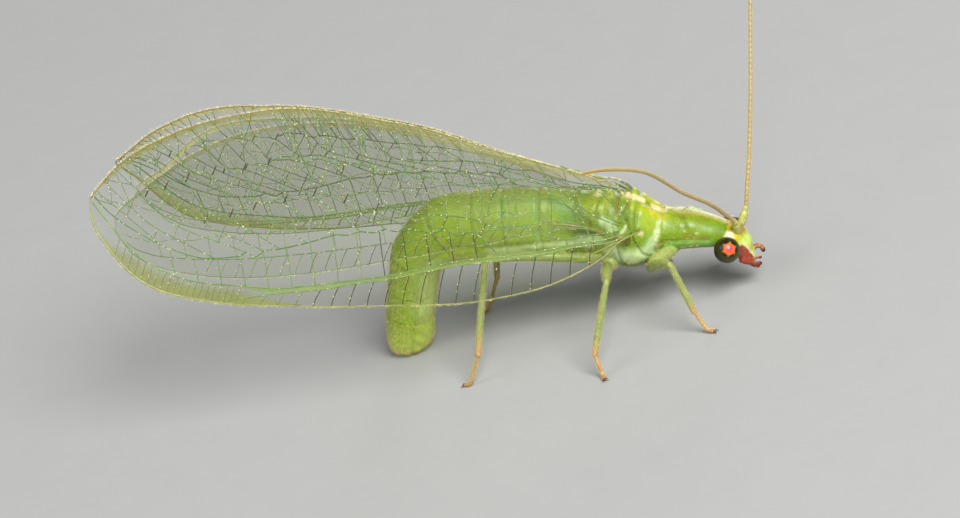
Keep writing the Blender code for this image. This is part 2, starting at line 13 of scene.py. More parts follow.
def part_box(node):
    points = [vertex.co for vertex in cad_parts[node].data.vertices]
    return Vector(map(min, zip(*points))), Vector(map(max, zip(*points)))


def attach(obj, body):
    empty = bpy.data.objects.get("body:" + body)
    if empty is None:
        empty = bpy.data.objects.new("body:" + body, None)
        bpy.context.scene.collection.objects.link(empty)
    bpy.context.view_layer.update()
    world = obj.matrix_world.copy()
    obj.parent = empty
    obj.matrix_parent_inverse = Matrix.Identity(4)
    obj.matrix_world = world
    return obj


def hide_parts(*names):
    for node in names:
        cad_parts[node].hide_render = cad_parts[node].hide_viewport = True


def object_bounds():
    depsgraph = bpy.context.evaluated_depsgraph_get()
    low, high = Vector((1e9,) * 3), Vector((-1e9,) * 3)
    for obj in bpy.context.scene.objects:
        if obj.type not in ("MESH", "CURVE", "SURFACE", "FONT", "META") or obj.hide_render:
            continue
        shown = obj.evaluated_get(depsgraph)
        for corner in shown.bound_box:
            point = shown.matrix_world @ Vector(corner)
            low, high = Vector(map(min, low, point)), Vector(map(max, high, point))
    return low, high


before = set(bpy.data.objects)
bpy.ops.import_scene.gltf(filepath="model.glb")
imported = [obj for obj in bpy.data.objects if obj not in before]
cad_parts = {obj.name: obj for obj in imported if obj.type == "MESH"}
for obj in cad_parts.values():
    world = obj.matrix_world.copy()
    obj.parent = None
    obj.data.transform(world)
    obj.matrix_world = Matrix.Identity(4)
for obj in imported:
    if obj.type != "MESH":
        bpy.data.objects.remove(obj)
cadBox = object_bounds()
print("solids loaded:", len(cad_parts), "nodes")

mm = 0.001
eyeSpot = (6.76, 0.52, 1.34)                    # the left eye's middle; the right one mirrors it
eyeLow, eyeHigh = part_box("eye_left")
shift = np.array((eyeLow + eyeHigh) / 2) - np.array(eyeSpot) * mm
draw = np.random.default_rng(7)
up = np.array((0.0, 0.0, 1.0))
leftward = np.array((0.0, 1.0, 0.0))


def toRow(points):
    return np.asarray(points, float) * mm + shift


def smoothStep(t):
    t = np.clip(t, 0.0, 1.0)
    return t * t * (3.0 - 2.0 * t)


def unit(v):
    return v / np.maximum(np.linalg.norm(v, axis=-1, keepdims=True), 1e-12)


def bell(distance, width):
    return np.exp(-(distance / width) ** 2)


def wrapped(degrees):
    # an angle brought to between -180 and 180 degrees
    return (degrees + 180.0) % 360.0 - 180.0


def mirrored(points, mirror):
    return np.asarray(points, float) * (1.0, mirror, 1.0)


def lengthsAlong(line):
    # distance from a line's start to each of its points
    return np.concatenate([[0.0], np.cumsum(np.linalg.norm(np.diff(line, axis=0), axis=1))])


def curveThrough(points, count):
    # a smooth curve through the points, with count steps between each two
    points = np.asarray(points, float)
    padded = np.vstack([2 * points[0] - points[1], points, 2 * points[-1] - points[-2]])
    t = (np.arange(count) / count)[:, None]
    runs = []
    for a, b, c, d in zip(padded, padded[1:], padded[2:], padded[3:]):
        square = 2 * a - 5 * b + 4 * c - d
        cube = 3 * b - a - 3 * c + d
        runs.append(0.5 * (2 * b + (c - a) * t + square * t ** 2 + cube * t ** 3))
    runs.append(points[-1:])
    return np.vstack(runs)


def evenly(line, step):
    # the same line with its points a step apart
    along = lengthsAlong(line)
    count = max(2, int(round(along[-1] / step)) + 1)
    spots = np.linspace(0.0, along[-1], count)
    return np.column_stack([np.interp(spots, along, line[:, k]) for k in range(line.shape[1])])


def carriedNormals(tangents):
    # a normal carried along a line without twist
    normal = np.cross(tangents[0], (0.31, 0.52, 0.79))
    normals = []
    for tangent in tangents:
        normal = normal - tangent * (normal @ tangent)
        normal = normal / np.linalg.norm(normal)
        normals.append(normal)
    return np.array(normals)


# a shape is its points and its triangles, and for hairs the flat coordinates of the points as well
def ringFaces(rings, sides, closed=True):
    i, j = np.meshgrid(np.arange(rings - 1), np.arange(sides if closed else sides - 1), indexing="ij")
    a = i * sides + j
    b = i * sides + (j + 1) % sides
    first = np.stack([a, b, b + sides], -1).reshape(-1, 3)
    second = np.stack([a, b + sides, a + sides], -1).reshape(-1, 3)
    return np.concatenate([first, second])


def capFaces(ring, centre, flip):
    following = np.roll(ring, -1)
    return np.column_stack([np.full(len(ring), centre), *((following, ring) if flip else (ring, following))])


def closedFaces(rings, sides, inward=False):
    # the faces of a stack of rings, closed at each end round the two points that come after the rings
    wall = ringFaces(rings, sides)
    first = np.arange(sides)
    return np.vstack([
        wall[:, ::-1] if inward else wall,
        capFaces(first, rings * sides, not inward),
        capFaces(first + (rings - 1) * sides, rings * sides + 1, inward),
    ])


def ringTints(tints, sides):
    # one colour a ring, and the end ones again for the two end points
    tints = np.repeat(tints, sides, axis=0)
    return np.vstack([tints, tints[:1], tints[-1:]])


def tube(line, radii, sides, normals=None):
    # a closed round rod along a line, with one radius a point
    tangents = unit(np.gradient(line, axis=0))
    if normals is None:
        normals = carriedNormals(tangents)
    side = unit(np.cross(normals, tangents))
    over = np.cross(tangents, side)
    turn = 2 * np.pi * np.arange(sides) / sides
    points = (line[:, None] + side[:, None] * (radii[:, None] * np.cos(turn))[..., None]
              + over[:, None] * (radii[:, None] * np.sin(turn))[..., None]).reshape(-1, 3)
    ends = np.array([line[0] - tangents[0] * radii[0] * 0.6, line[-1] + tangents[-1] * radii[-1] * 0.6])
    return np.vstack([points, ends]), closedFaces(len(line), sides)


def hairs(roots, ways, leans, lengths, thick, flats):
    # closed three-sided hairs, each bent once towards its lean
    lengths = lengths[:, None]
    middle = roots + ways * lengths * 0.5
    tip = middle + unit(ways + leans * 0.8) * lengths * 0.5
    side = unit(np.cross(ways, leans + (0.011, 0.017, 0.013)))
    over = np.cross(ways, side)
    corners = []
    for base, share in ((roots, 1.0), (middle, 0.7)):
        for turn in (0.0, 2 * math.pi / 3, 4 * math.pi / 3):
            corners.append(base + (side * math.cos(turn) + over * math.sin(turn)) * thick * share)
    corners.append(tip)
    points = np.stack(corners, axis=1).reshape(-1, 3)
    pattern = np.array([(0, 1, 4), (0, 4, 3), (1, 2, 5), (1, 5, 4), (2, 0, 3), (2, 3, 5),
                        (3, 4, 6), (4, 5, 6), (5, 3, 6), (0, 2, 1)])
    faces = (pattern[None] + 7 * np.arange(len(roots))[:, None, None]).reshape(-1, 3)
    patch = 0.0015 * np.array([(-1, -1), (1, -1), (0, 1), (-1, 0), (1, 0), (0, 1), (0, 0)])
    return points, faces, (flats[:, None] + patch[None]).reshape(-1, 2)


def beads(middles, radius, flats):
    # closed eight-sided beads
    ways = np.array([(1, 0, 0), (0, 1, 0), (-1, 0, 0), (0, -1, 0), (0, 0, 1), (0, 0, -1)], float)
    pattern = np.array([(0, 1, 4), (1, 2, 4), (2, 3, 4), (3, 0, 4),
                        (1, 0, 5), (2, 1, 5), (3, 2, 5), (0, 3, 5)])
    points = (middles[:, None] + ways * radius).reshape(-1, 3)
    faces = (pattern[None] + 6 * np.arange(len(middles))[:, None, None]).reshape(-1, 3)
    patch = 0.0012 * np.array([(1, 0), (0, 1), (-1, 0), (0, -1), (0, 0), (1, 1)])
    return points, faces, (flats[:, None] + patch[None]).reshape(-1, 2)


def kept(points):
    # the same points, no lower than the floor and no further back than the wings' tips
    lowest = np.array((cadBox[0][0], -1.0, cadBox[0][2])) - shift
    return np.maximum(points, lowest / mm + (0.004, 0.0, 0.003))


def stack(shapes):
    # several shapes as one
    points, faces, *flats = zip(*shapes)
    starts = np.cumsum([0] + [len(part) for part in points])
    faces = [part + start for part, start in zip(faces, starts)]
    return np.vstack(points), np.vstack(faces), *map(np.vstack, flats)


def makePiece(name, shape, material, tints=None):
    # a mesh that rides on the body; hairs get an OFBake map, and painted pieces a colour on every point
    points, faces, *flats = shape
    points = kept(points)
    mesh = bpy.data.meshes.new(name)
    mesh.vertices.add(len(points))
    mesh.vertices.foreach_set("co", toRow(points).astype(np.float32).ravel())
    mesh.loops.add(faces.size)
    mesh.loops.foreach_set("vertex_index", faces.astype(np.int32).ravel())
    mesh.polygons.add(len(faces))
    mesh.polygons.foreach_set("loop_start", np.arange(0, faces.size, 3, dtype=np.int32))
    mesh.polygons.foreach_set("use_smooth", np.ones(len(faces), bool))
    mesh.update(calc_edges=True)
    if flats:
        layer = mesh.uv_layers.new(name="OFBake")
        layer.data.foreach_set("uv", flats[0][faces.ravel()].astype(np.float32).ravel())
    if tints is not None:
        if tints.shape[1] == 3:  # the fourth number tells how much of a fading band shows
            tints = np.column_stack([tints, np.ones(len(tints))])
        layer = mesh.color_attributes.new("tint", "FLOAT_COLOR", "POINT")
        layer.data.foreach_set("color", np.ascontiguousarray(tints, np.float32).ravel())
    mesh.materials.append(material)
    piece = linked(name, mesh)
    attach(piece, "root")
    return piece


def linked(name, data):
    # an object of the scene that shows a mesh, a camera or a light
    item = bpy.data.objects.new(name, data)
    bpy.context.scene.collection.objects.link(item)
    return item


def rgb(red, green, blue):
    # a colour as a picture gives it, made linear
    share = np.array((red, green, blue)) / 255.0
    return np.where(share <= 0.04045, share / 12.92, ((share + 0.055) / 1.055) ** 2.4)


colours = {
    "abdomen": rgb(150, 182, 16), "abdomenBack": rgb(118, 146, 8), "abdomenBelly": rgb(178, 204, 84),
    "abdomenTip": rgb(182, 210, 80), "greenPatch": rgb(84, 158, 44), "whiteGreen": rgb(206, 228, 170),
    "thorax": rgb(114, 144, 12), "furrowPaintedShade": rgb(96, 112, 14), "platePaintedHighlight": rgb(148, 166, 30),
    "stripe": rgb(206, 190, 134), "collar": rgb(116, 146, 8), "collarLow": rgb(126, 178, 78),
    "collarStripe": rgb(164, 150, 84), "yellow": rgb(188, 176, 30), "olive": rgb(112, 118, 16),
    "rust": rgb(150, 96, 30), "orange": rgb(196, 92, 44), "cream": rgb(236, 214, 176),
    "head": rgb(166, 178, 56), "vertex": rgb(196, 178, 18), "vertexFront": rgb(146, 126, 34),
    "paintedShineAboveEye": rgb(206, 222, 188), "frons": rgb(184, 204, 96), "cheek": rgb(146, 52, 30),
    "mouth": rgb(126, 54, 26), "palpTip": rgb(52, 22, 12), "leftPalpPaintedLight": rgb(152, 98, 50),
    "coxa": rgb(160, 172, 96), "femur": rgb(136, 156, 66), "tibia": rgb(140, 152, 86),
    "tarsus": rgb(180, 144, 92), "scape": rgb(172, 172, 96), "feeler": rgb(176, 154, 104),
}


def painted(table, base, spread, layers):
    # the base colour of a table all over, with others of it laid on, each by its own share
    tint = np.broadcast_to(table[base], (*spread, 3))
    for name, share in layers:
        tint = blend(tint, table[name], share[..., None])
    return tint


def blend(first, second, share):
    return first + (second - first) * share


def addNode(tree, kind, inputs=(), **settings):
    node = tree.nodes.new(kind)
    for key, value in settings.items():
        setattr(node, key, value)
    for key, value in dict(inputs).items():
        node.inputs[key].default_value = value
    return node


def mottle(tree, source, scale, low, high):
    # a colour, or a node's colour, made lighter and darker by a noise in space
    spots = addNode(tree, "ShaderNodeTexCoord").outputs["Object"]
    noise = addNode(tree, "ShaderNodeTexNoise", {"Scale": scale, "Detail": 4.0, "Roughness": 0.6})
    tree.links.new(spots, noise.inputs["Vector"])
    ends = {"From Min": 0.3, "From Max": 0.7, "To Min": low, "To Max": high}
    spread = addNode(tree, "ShaderNodeMapRange", ends)
    tree.links.new(noise.outputs["Fac"], spread.inputs["Value"])
    scaled = addNode(tree, "ShaderNodeVectorMath", operation="SCALE")
    if isinstance(source, bpy.types.NodeSocket):
        tree.links.new(source, scaled.inputs[0])
    else:
        scaled.inputs[0].default_value = tuple(source)
    tree.links.new(spread.outputs["Result"], scaled.inputs["Scale"])
    return scaled.outputs["Vector"]


def bumps(tree, shader, kind, scale, strength, reach):
    # small relief from a noise or a cell pattern
    spots = addNode(tree, "ShaderNodeTexCoord").outputs["Object"]
    if kind == "cells":
        pattern = addNode(tree, "ShaderNodeTexVoronoi", {"Scale": scale}, feature="DISTANCE_TO_EDGE")
        height = pattern.outputs["Distance"]
    else:
        pattern = addNode(tree, "ShaderNodeTexNoise", {"Scale": scale, "Detail": 5.0})
        height = pattern.outputs["Fac"]
    tree.links.new(spots, pattern.inputs["Vector"])
    bump = addNode(tree, "ShaderNodeBump", {"Strength": strength, "Distance": reach})
    tree.links.new(height, bump.inputs["Height"])
    tree.links.new(bump.outputs["Normal"], shader.inputs["Normal"])


def makeMaterial(name, look, colour=None, fades=False):
    # without a colour it shows the one on the points; a fading one lets them say how much of it shows
    material = bpy.data.materials.new(name)
    material.use_nodes = True
    tree = material.node_tree
    shader = tree.nodes["Principled BSDF"]
    for socket, value in look["sockets"].items():
        shader.inputs[socket].default_value = value
    if colour is None:
        paint = addNode(tree, "ShaderNodeAttribute", attribute_name="tint")
        colour = paint.outputs["Color"]
    tree.links.new(mottle(tree, colour, *look["mottle"]), shader.inputs["Base Color"])
    if fades:
        cover = addNode(tree, "ShaderNodeMath", {1: look["sockets"]["Alpha"]}, operation="MULTIPLY")
        tree.links.new(paint.outputs["Alpha"], cover.inputs[0])
        tree.links.new(cover.outputs["Value"], shader.inputs["Alpha"])
    if "relief" in look:
        bumps(tree, shader, *look["relief"])
    return material


def plainMaterial(name, colour, roughness, scale, coat=0.0, glow=0.0):
    # one colour, mottled, for veins, hairs and claws
    sockets = {
        "Roughness": roughness, "Coat Weight": coat, "Subsurface Weight": glow,
        "Subsurface Radius": (1.0, 1.0, 0.5), "Subsurface Scale": 0.05 * mm,
    }
    return makeMaterial(name, {"sockets": sockets, "mottle": (scale, 0.75, 1.2)}, colour)


# mottle is the noise's scale, its darkest and its lightest; relief is its kind, scale, strength and height
skinLook = {
    "sockets": {
        "Roughness": 0.42, "Specular IOR Level": 0.45, "Coat Weight": 0.10, "Coat Roughness": 0.25,
        "Subsurface Weight": 0.45, "Subsurface Radius": (1.0, 1.0, 0.35), "Subsurface Scale": 0.16 * mm,
    },
    "mottle": (7000.0, 0.82, 1.14), "relief": ("noise", 16000.0, 0.5, 0.012 * mm),
}
eyeLook = {
    "sockets": {"Roughness": 0.2, "Specular IOR Level": 0.25, "Coat Weight": 0.05, "Coat Roughness": 0.12},
    "mottle": (30000.0, 0.85, 1.15), "relief": ("cells", 42000.0, 0.3, 0.008 * mm),
}
feelerLook = {
    "sockets": {
        "Roughness": 0.5, "Subsurface Weight": 0.2, "Subsurface Radius": (1.0, 1.0, 0.35),
        "Subsurface Scale": 0.1 * mm,
    },
    "mottle": (16000.0, 0.8, 1.15), "relief": ("noise", 60000.0, 0.4, 0.006 * mm),
}
skinMaterial = makeMaterial("cuticle", skinLook)
eyeMaterial = makeMaterial("eye_facets", eyeLook)
feelerMaterial = makeMaterial("feeler_cuticle", feelerLook)
hairMaterial = plainMaterial("golden_hair", rgb(232, 212, 136), 0.3, 20000.0)
# the wing hairs and their beads are near white, partly their own pale colour and partly painted glint
wingHairMaterial = plainMaterial("wing_hair", rgb(238, 228, 172), 0.2, 20000.0)
clawMaterial = plainMaterial("claw_brown", rgb(96, 52, 26), 0.3, 20000.0, coat=0.3)
veinMaterials = {
    "green": plainMaterial("vein_green", rgb(80, 114, 50), 0.4, 6000.0, glow=0.1),
    "light": plainMaterial("vein_light", rgb(106, 134, 70), 0.4, 6000.0, glow=0.1),
    "dark": plainMaterial("vein_dark", rgb(58, 58, 28), 0.4, 9000.0),
    "pale": plainMaterial("vein_pale", rgb(142, 144, 82), 0.4, 6000.0, glow=0.1),
    "gold": plainMaterial("vein_gold", rgb(146, 130, 62), 0.4, 9000.0, glow=0.1),
    "stem": plainMaterial("wing_stem", rgb(122, 126, 44), 0.4, 9000.0, glow=0.2),
}


trunk = {
    # centre x, y, z, half height, half width, from the tip of the abdomen to inside the head
    "stations": (
        (-1.84, 0.80, 0.00, 0.38, 0.33), (-1.74, 0.77, 0.30, 0.49, 0.45), (-1.50, 0.66, 0.90, 0.55, 0.51),
        (-1.22, 0.50, 1.48, 0.58, 0.54), (-0.90, 0.32, 2.15, 0.59, 0.56), (-0.48, 0.14, 2.83, 0.66, 0.60),
        (0.40, 0.00, 3.28, 0.84, 0.66), (1.04, 0.00, 3.20, 0.88, 0.68), (1.63, 0.00, 3.09, 0.90, 0.68),
        (2.34, 0.00, 2.96, 0.89, 0.66), (3.04, 0.00, 2.81, 0.83, 0.62), (3.62, 0.00, 2.62, 0.78, 0.62),
        (4.05, 0.00, 2.44, 0.82, 0.70), (4.57, 0.00, 2.21, 0.86, 0.78), (4.93, 0.00, 2.10, 0.78, 0.74),
        (5.24, 0.00, 2.03, 0.56, 0.60), (5.42, 0.00, 1.98, 0.50, 0.57), (5.96, 0.00, 1.86, 0.45, 0.54),
        (6.40, 0.00, 1.68, 0.38, 0.46), (6.74, 0.00, 1.52, 0.30, 0.36),
    ),
    "steps": 24, "columns": 180,
    "abdomenEnd": 10.6, "rings": 9,
    # place, spread, angle, spread of it in degrees, height as a share
    "swellings": (
        (11.6, 0.35, 62.0, 24.0, 0.10), (11.6, 0.35, 118.0, 24.0, 0.10), (13.2, 0.50, 60.0, 24.0, 0.10),
        (13.2, 0.50, 120.0, 24.0, 0.10), (13.5, 0.70, 0.0, 30.0, 0.07), (13.5, 0.70, 180.0, 30.0, 0.07),
        (13.2, 0.60, 240.0, 26.0, 0.06), (13.2, 0.60, 300.0, 26.0, 0.06), (16.4, 0.80, 90.0, 40.0, 0.05),
    ),
    # raised plates: place, spread (mm), angle from the top of the back, spread (mm), height (mm)
    "plates": (
        (14.3, 0.26, 30.0, 0.20, 0.07), (13.2, 0.16, 24.0, 0.16, 0.05), (12.75, 0.10, 0.0, 0.14, 0.08),
        (12.0, 0.10, 22.0, 0.24, 0.06), (11.35, 0.10, 0.0, 0.12, 0.05), (13.3, 0.30, 112.0, 0.24, 0.06),
        (12.55, 0.14, 74.0, 0.14, 0.04), (14.5, 0.16, 88.0, 0.22, 0.04), (15.6, 0.14, 30.0, 0.20, 0.03),
        (17.0, 0.22, 42.0, 0.18, 0.03), (12.3, 0.05, 62.0, 0.05, 0.05), (12.45, 0.04, 69.0, 0.04, 0.05),
        (11.95, 0.12, 60.0, 0.10, 0.04), (17.2, 0.40, 108.0, 0.16, 0.01), (11.2, 0.20, 40.0, 0.20, 0.04),
    ),
    # furrows between two (place, angle from the top) points: width and depth in mm
    "furrows": (
        ((14.9, 0.0), (13.1, 0.0), 0.040, 0.045), ((12.9, 50.0), (14.4, 128.0), 0.035, 0.06),
        ((12.3, 62.0), (13.0, 140.0), 0.035, 0.06), ((11.2, 62.0), (11.8, 135.0), 0.035, 0.05),
        ((13.7, 20.0), (13.5, 66.0), 0.035, 0.05), ((13.0, 8.0), (12.5, 48.0), 0.030, 0.04),
        ((15.2, 95.0), (18.0, 92.0), 0.050, 0.022), ((16.7, 0.0), (16.9, 60.0), 0.050, 0.03),
        ((11.6, 10.0), (11.4, 50.0), 0.030, 0.03), ((12.4, 3.0), (12.4, 38.0), 0.030, 0.04),
        ((12.25, 90.0), (12.75, 84.0), 0.030, 0.05), ((12.75, 84.0), (13.8, 66.0), 0.030, 0.05),
    ),
    # painted marks: two (place, angle from the top) ends, reach in mm, colour and share
    "marks": (
        # painted highlight: the next four marks lay a lighter green on the tops of raised plates
        ((14.4, 30.0), (14.6, 46.0), 0.26, "platePaintedHighlight", 0.95),
        ((12.05, 3.0), (11.85, 42.0), 0.09, "platePaintedHighlight", 0.9),
        ((11.3, 20.0), (11.2, 42.0), 0.14, "platePaintedHighlight", 0.6),
        ((13.2, 18.0), (13.3, 26.0), 0.14, "platePaintedHighlight", 0.7),
        ((12.42, 6.0), (12.42, 40.0), 0.045, "rust", 0.55),
        ((11.95, 58.0), (12.3, 66.0), 0.13, "whiteGreen", 0.6),
        ((12.9, 60.0), (12.7, 76.0), 0.045, "whiteGreen", 0.8),
        ((13.95, 69.0), (14.0, 70.0), 0.06, "cream", 0.4),
        ((12.45, 82.0), (13.0, 75.0), 0.045, "orange", 0.6),
        ((12.2, 91.0), (12.75, 84.0), 0.05, "olive", 0.8),
        ((12.75, 84.0), (13.8, 66.0), 0.05, "olive", 0.8),
        ((12.5, 112.0), (14.3, 112.0), 0.24, "whiteGreen", 0.75),
        ((14.3, 104.0), (14.7, 88.0), 0.13, "whiteGreen", 0.6),
        ((15.55, 30.0), (15.1, 66.0), 0.05, "whiteGreen", 0.6),
        ((15.1, 66.0), (14.8, 99.0), 0.07, "whiteGreen", 0.75),
        ((16.3, 112.0), (18.0, 104.0), 0.18, "collarLow", 0.6),
        ((16.5, 23.0), (17.6, 24.0), 0.08, "olive", 0.5), ((17.45, 88.0), (17.9, 86.0), 0.05, "rust", 0.5),
        ((17.1, 74.0), (17.3, 76.0), 0.05, "rust", 0.3), ((17.36, 70.0), (17.42, 69.0), 0.035, "cream", 0.4),
        ((16.9, 80.0), (17.1, 80.0), 0.05, "rust", 0.35),
        ((10.0, 30.0), (10.4, 58.0), 0.20, "greenPatch", 0.65),
        ((9.2, 20.0), (9.4, 60.0), 0.12, "greenPatch", 0.35),
        ((8.3, 20.0), (8.4, 54.0), 0.10, "greenPatch", 0.3),
        ((3.2, 138.0), (5.3, 132.0), 0.42, "whiteGreen", 0.28),
        ((7.6, 114.0), (11.4, 108.0), 0.10, "whiteGreen", 0.6),
        ((10.9, 96.0), (11.9, 92.0), 0.12, "whiteGreen", 0.45),
    ),
    # the pale stripe along the middle of the thorax: start, end, half width in mm
    "stripe": ((11.2, 11.75, 0.12), (11.95, 12.3, 0.09), (12.4, 14.3, 0.12), (14.45, 16.3, 0.10)),
}


def trunkLine(shape):
    numbers = curveThrough(shape["stations"], shape["steps"])
    centres, halves = numbers[:, :3], numbers[:, 3:]
    tangents = unit(np.gradient(centres, axis=0))
    tangents[0] = up
    places = np.arange(len(centres)) / shape["steps"]
    halves = halves * (0.25 + 0.75 * np.sqrt(1.0 - np.clip(1.0 - places / 0.45, 0.0, 1.0) ** 2))[:, None]
    return places, centres, halves, tangents, lengthsAlong(centres)


trunkPlaces, trunkCentres, trunkHalves, trunkTangents, trunkLengths = trunkLine(trunk)


def lengthAt(place):
    return np.interp(place, trunkPlaces, trunkLengths)


def fromTop(angle):
    # degrees from the middle of the back, down either side
    return np.abs(wrapped(angle - 90.0))


def trunkSwell(place, angle):
    swell = np.ones(np.broadcast(place, angle).shape)
    for middle, spread, direction, width, height in trunk["swellings"]:
        swell = swell + height * bell(place - middle, spread) * bell(wrapped(angle - direction), width)
    swell = np.where(place < trunk["abdomenEnd"], 1.0, swell)
    belly = bell(wrapped(angle - 270.0), 60.0)       # the tip flares, then slants off, below
    return swell + belly * (0.16 * bell(place - 1.5, 0.6) - 0.40 * smoothStep((1.0 - place) / 1.0))


def lineGap(place, angle, start, end, girth):
    # distance in mm on the skin from a line between two (place, angle from the top) points
    x, y = lengthAt(place), fromTop(angle) * girth
    ax, ay = lengthAt(start[0]), start[1] * girth
    bx, by = lengthAt(end[0]), end[1] * girth
    dx, dy = bx - ax, by - ay
    share = np.clip(((x - ax) * dx + (y - ay) * dy) / (dx * dx + dy * dy + 1e-9), 0.0, 1.0)
    return np.hypot(x - ax - share * dx, y - ay - share * dy)


def ringBorders():
    return trunk["abdomenEnd"] / trunk["rings"] * np.arange(2, trunk["rings"] + 1)


def trunkRelief(place, angle, halves):
    # height in mm of the fine relief: rings of the abdomen, plates and furrows of the thorax
    girth = math.pi / 180.0 * halves.mean(axis=-1)
    side = fromTop(angle)
    away = lengthAt(place)
    relief = np.zeros(np.broadcast(place, angle).shape)
    abdomen = smoothStep((trunk["abdomenEnd"] + 0.2 - place) / 0.4)
    for border in ringBorders():
        gap = away - lengthAt(border)
        back = smoothStep((120.0 - side) / 40.0)
        relief = relief - (0.030 + 0.012 * back) * bell(gap, 0.035) + 0.016 * bell(gap - 0.09, 0.06) * back
    relief = relief - abdomen * (0.035 * bell(side - 106.0, 5.0) + 0.020 * bell(side - 134.0, 4.0))
    relief = relief + abdomen * 0.012 * np.sin(place * 9.0) * bell(side - 120.0, 10.0)
    thorax = 1.0 - abdomen
    for middle, spread, direction, width, height in trunk["plates"]:
        gap = (away - lengthAt(middle)) / spread
        turn = (side - direction) * girth / width
        relief = relief + thorax * height * np.exp(-(gap ** 2 + turn ** 2) ** 1.5)
    for start, end, width, depth in trunk["furrows"]:
        relief = relief - thorax * depth * bell(lineGap(place, angle, start, end, girth), width)
    collar = 14.80 + 0.9 * np.maximum(np.sin(np.radians(angle)), 0.0)
    relief = relief - thorax * 0.07 * bell(away - lengthAt(collar), 0.05)
    return relief - thorax * 0.05 * bell(away - lengthAt(12.0), 0.04)


def trunkPoint(place, angle, out=0.0, fine=True):
    # points on the trunk, out mm above its skin, with the skin's normal there
    place, angle = np.broadcast_arrays(np.asarray(place, float), np.asarray(angle, float))
    centre = np.stack([np.interp(place, trunkPlaces, trunkCentres[:, k]) for k in range(3)], -1)
    halves = np.stack([np.interp(place, trunkPlaces, trunkHalves[:, k]) for k in range(2)], -1)
    tangent = unit(np.stack([np.interp(place, trunkPlaces, trunkTangents[:, k]) for k in range(3)], -1))
    side = unit(leftward - tangent * tangent[..., 1:2])
    over = np.cross(tangent, side)
    turn = np.radians(angle)[..., None]
    swell = trunkSwell(place, angle)[..., None]
    arm = side * halves[..., 1:] * np.cos(turn) + over * halves[..., :1] * np.sin(turn)
    normal = unit(side * halves[..., :1] * np.cos(turn) + over * halves[..., 1:] * np.sin(turn))
    height = (trunkRelief(place, angle, halves) * fine + out)[..., None]
    return centre + arm * swell + normal * height, normal, tangent


def trunkTint(place, angle):
    # yellow-green abdomen, darker along its back, and a green thorax with a pale stripe and marks, painted
    # shade along its furrows and a painted highlight on its raised plates
    side = fromTop(angle)
    across = side * math.pi / 180.0 * np.interp(place, trunkPlaces, trunkHalves[:, 1])
    girth = math.pi / 180.0 * np.interp(place, trunkPlaces, trunkHalves.mean(axis=1))
    border = np.abs(lengthAt(place)[..., None] - lengthAt(ringBorders())).min(axis=-1)
    thorax = smoothStep((place - trunk["abdomenEnd"] + 0.3) / 0.6)
    layers = [
        ("abdomenBack", 0.85 * smoothStep((66.0 - side) / 60.0)),
        ("abdomenBelly", 0.7 * smoothStep((side - 104.0) / 30.0)),
        ("abdomenTip", 0.8 * smoothStep((2.6 - place) / 1.8)),
        ("abdomenBack", 0.25 * bell(border, 0.06) * smoothStep((110.0 - side) / 30.0)),
        ("thorax", thorax),
        ("collar", smoothStep((place - 15.3) / 0.3)),
    ]
    # painted shade: a darker green laid along every furrow of the thorax
    for start, end, width, _ in trunk["furrows"]:
        gap = lineGap(place, angle, start, end, girth)
        layers.append(("furrowPaintedShade", 0.35 * thorax * bell(gap, width * 2.0)))
    for start, end, reach, colour, share in trunk["marks"]:
        gap = lineGap(place, angle, start, end, girth) / reach
        layers.append((colour, share * np.exp(-gap ** 4)))
    flank = bell(lengthAt(place) - lengthAt(15.0), 0.30) * bell(across - 0.24, 0.11)
    bars = np.zeros(place.shape)
    for start, end, half in trunk["stripe"]:
        bars = np.maximum(bars, smoothStep((place - start) / 0.3) * smoothStep((end - place) / 0.3)
                          * smoothStep((half - across) / 0.10 + 0.5))
    collar = smoothStep((place - 16.2) / 0.3) * smoothStep((0.09 - across) / 0.07 + 0.5)
    layers += [("yellow", 0.85 * flank), ("stripe", 0.95 * bars), ("collarStripe", 0.9 * collar)]
    return painted(colours, "abdomen", place.shape, layers)


def makeTrunkShape():
    # the trunk's points, triangles and colours
    sides = trunk["columns"]
    place = np.repeat(trunkPlaces[:, None], sides, axis=1)
    angle = np.repeat((360.0 * np.arange(sides) / sides)[None], len(trunkPlaces), axis=0)
    points = trunkPoint(place, angle)[0]
    points[..., 2] = np.maximum(points[..., 2], 0.0)
    tint = trunkTint(place, angle).reshape(-1, 3)
    return (np.vstack([points.reshape(-1, 3), trunkCentres[[0, -1]]]), closedFaces(len(trunkPlaces), sides),
            np.vstack([tint, tint[:1], tint[-1:]]))


head = {
    # centre x, z, half depth, half width, from the crown down to the lip
    "stations": (
        (6.86, 1.74, 0.09, 0.13), (6.85, 1.69, 0.20, 0.26), (6.84, 1.55, 0.32, 0.40),
        (6.86, 1.34, 0.38, 0.45), (6.93, 1.10, 0.31, 0.37), (7.00, 0.92, 0.22, 0.28),
        (7.05, 0.80, 0.165, 0.21), (7.08, 0.70, 0.11, 0.15), (7.09, 0.64, 0.05, 0.09),
    ),
    "steps": 10, "columns": 120,
    # feelers of the mouth: the side they stand on, their line and the radius at each end
    "palps": (
        (-1, ((7.02, 0.17, 0.80), (7.19, 0.18, 0.67), (7.34, 0.12, 0.59)), 0.070, 0.046),
        (-1, ((7.02, 0.10, 0.74), (7.14, 0.15, 0.61), (7.27, 0.13, 0.53)), 0.060, 0.042),
        (1, ((7.06, 0.15, 0.80), (7.25, 0.17, 0.91), (7.38, 0.18, 0.88), (7.42, 0.15, 0.74)), 0.072, 0.054),
        (1, ((7.04, 0.08, 0.74), (7.18, 0.12, 0.66), (7.32, 0.12, 0.62)), 0.052, 0.038),
    ),
    "jaws": ((6.96, 0.24, 0.90), (7.08, 0.19, 0.74), (7.16, 0.05, 0.64)), "jawRadius": (0.12, 0.045),
    "lip": ((7.12, -0.09, 0.79), (7.19, 0.0, 0.77), (7.12, 0.09, 0.79)), "lipRadius": 0.05,
}


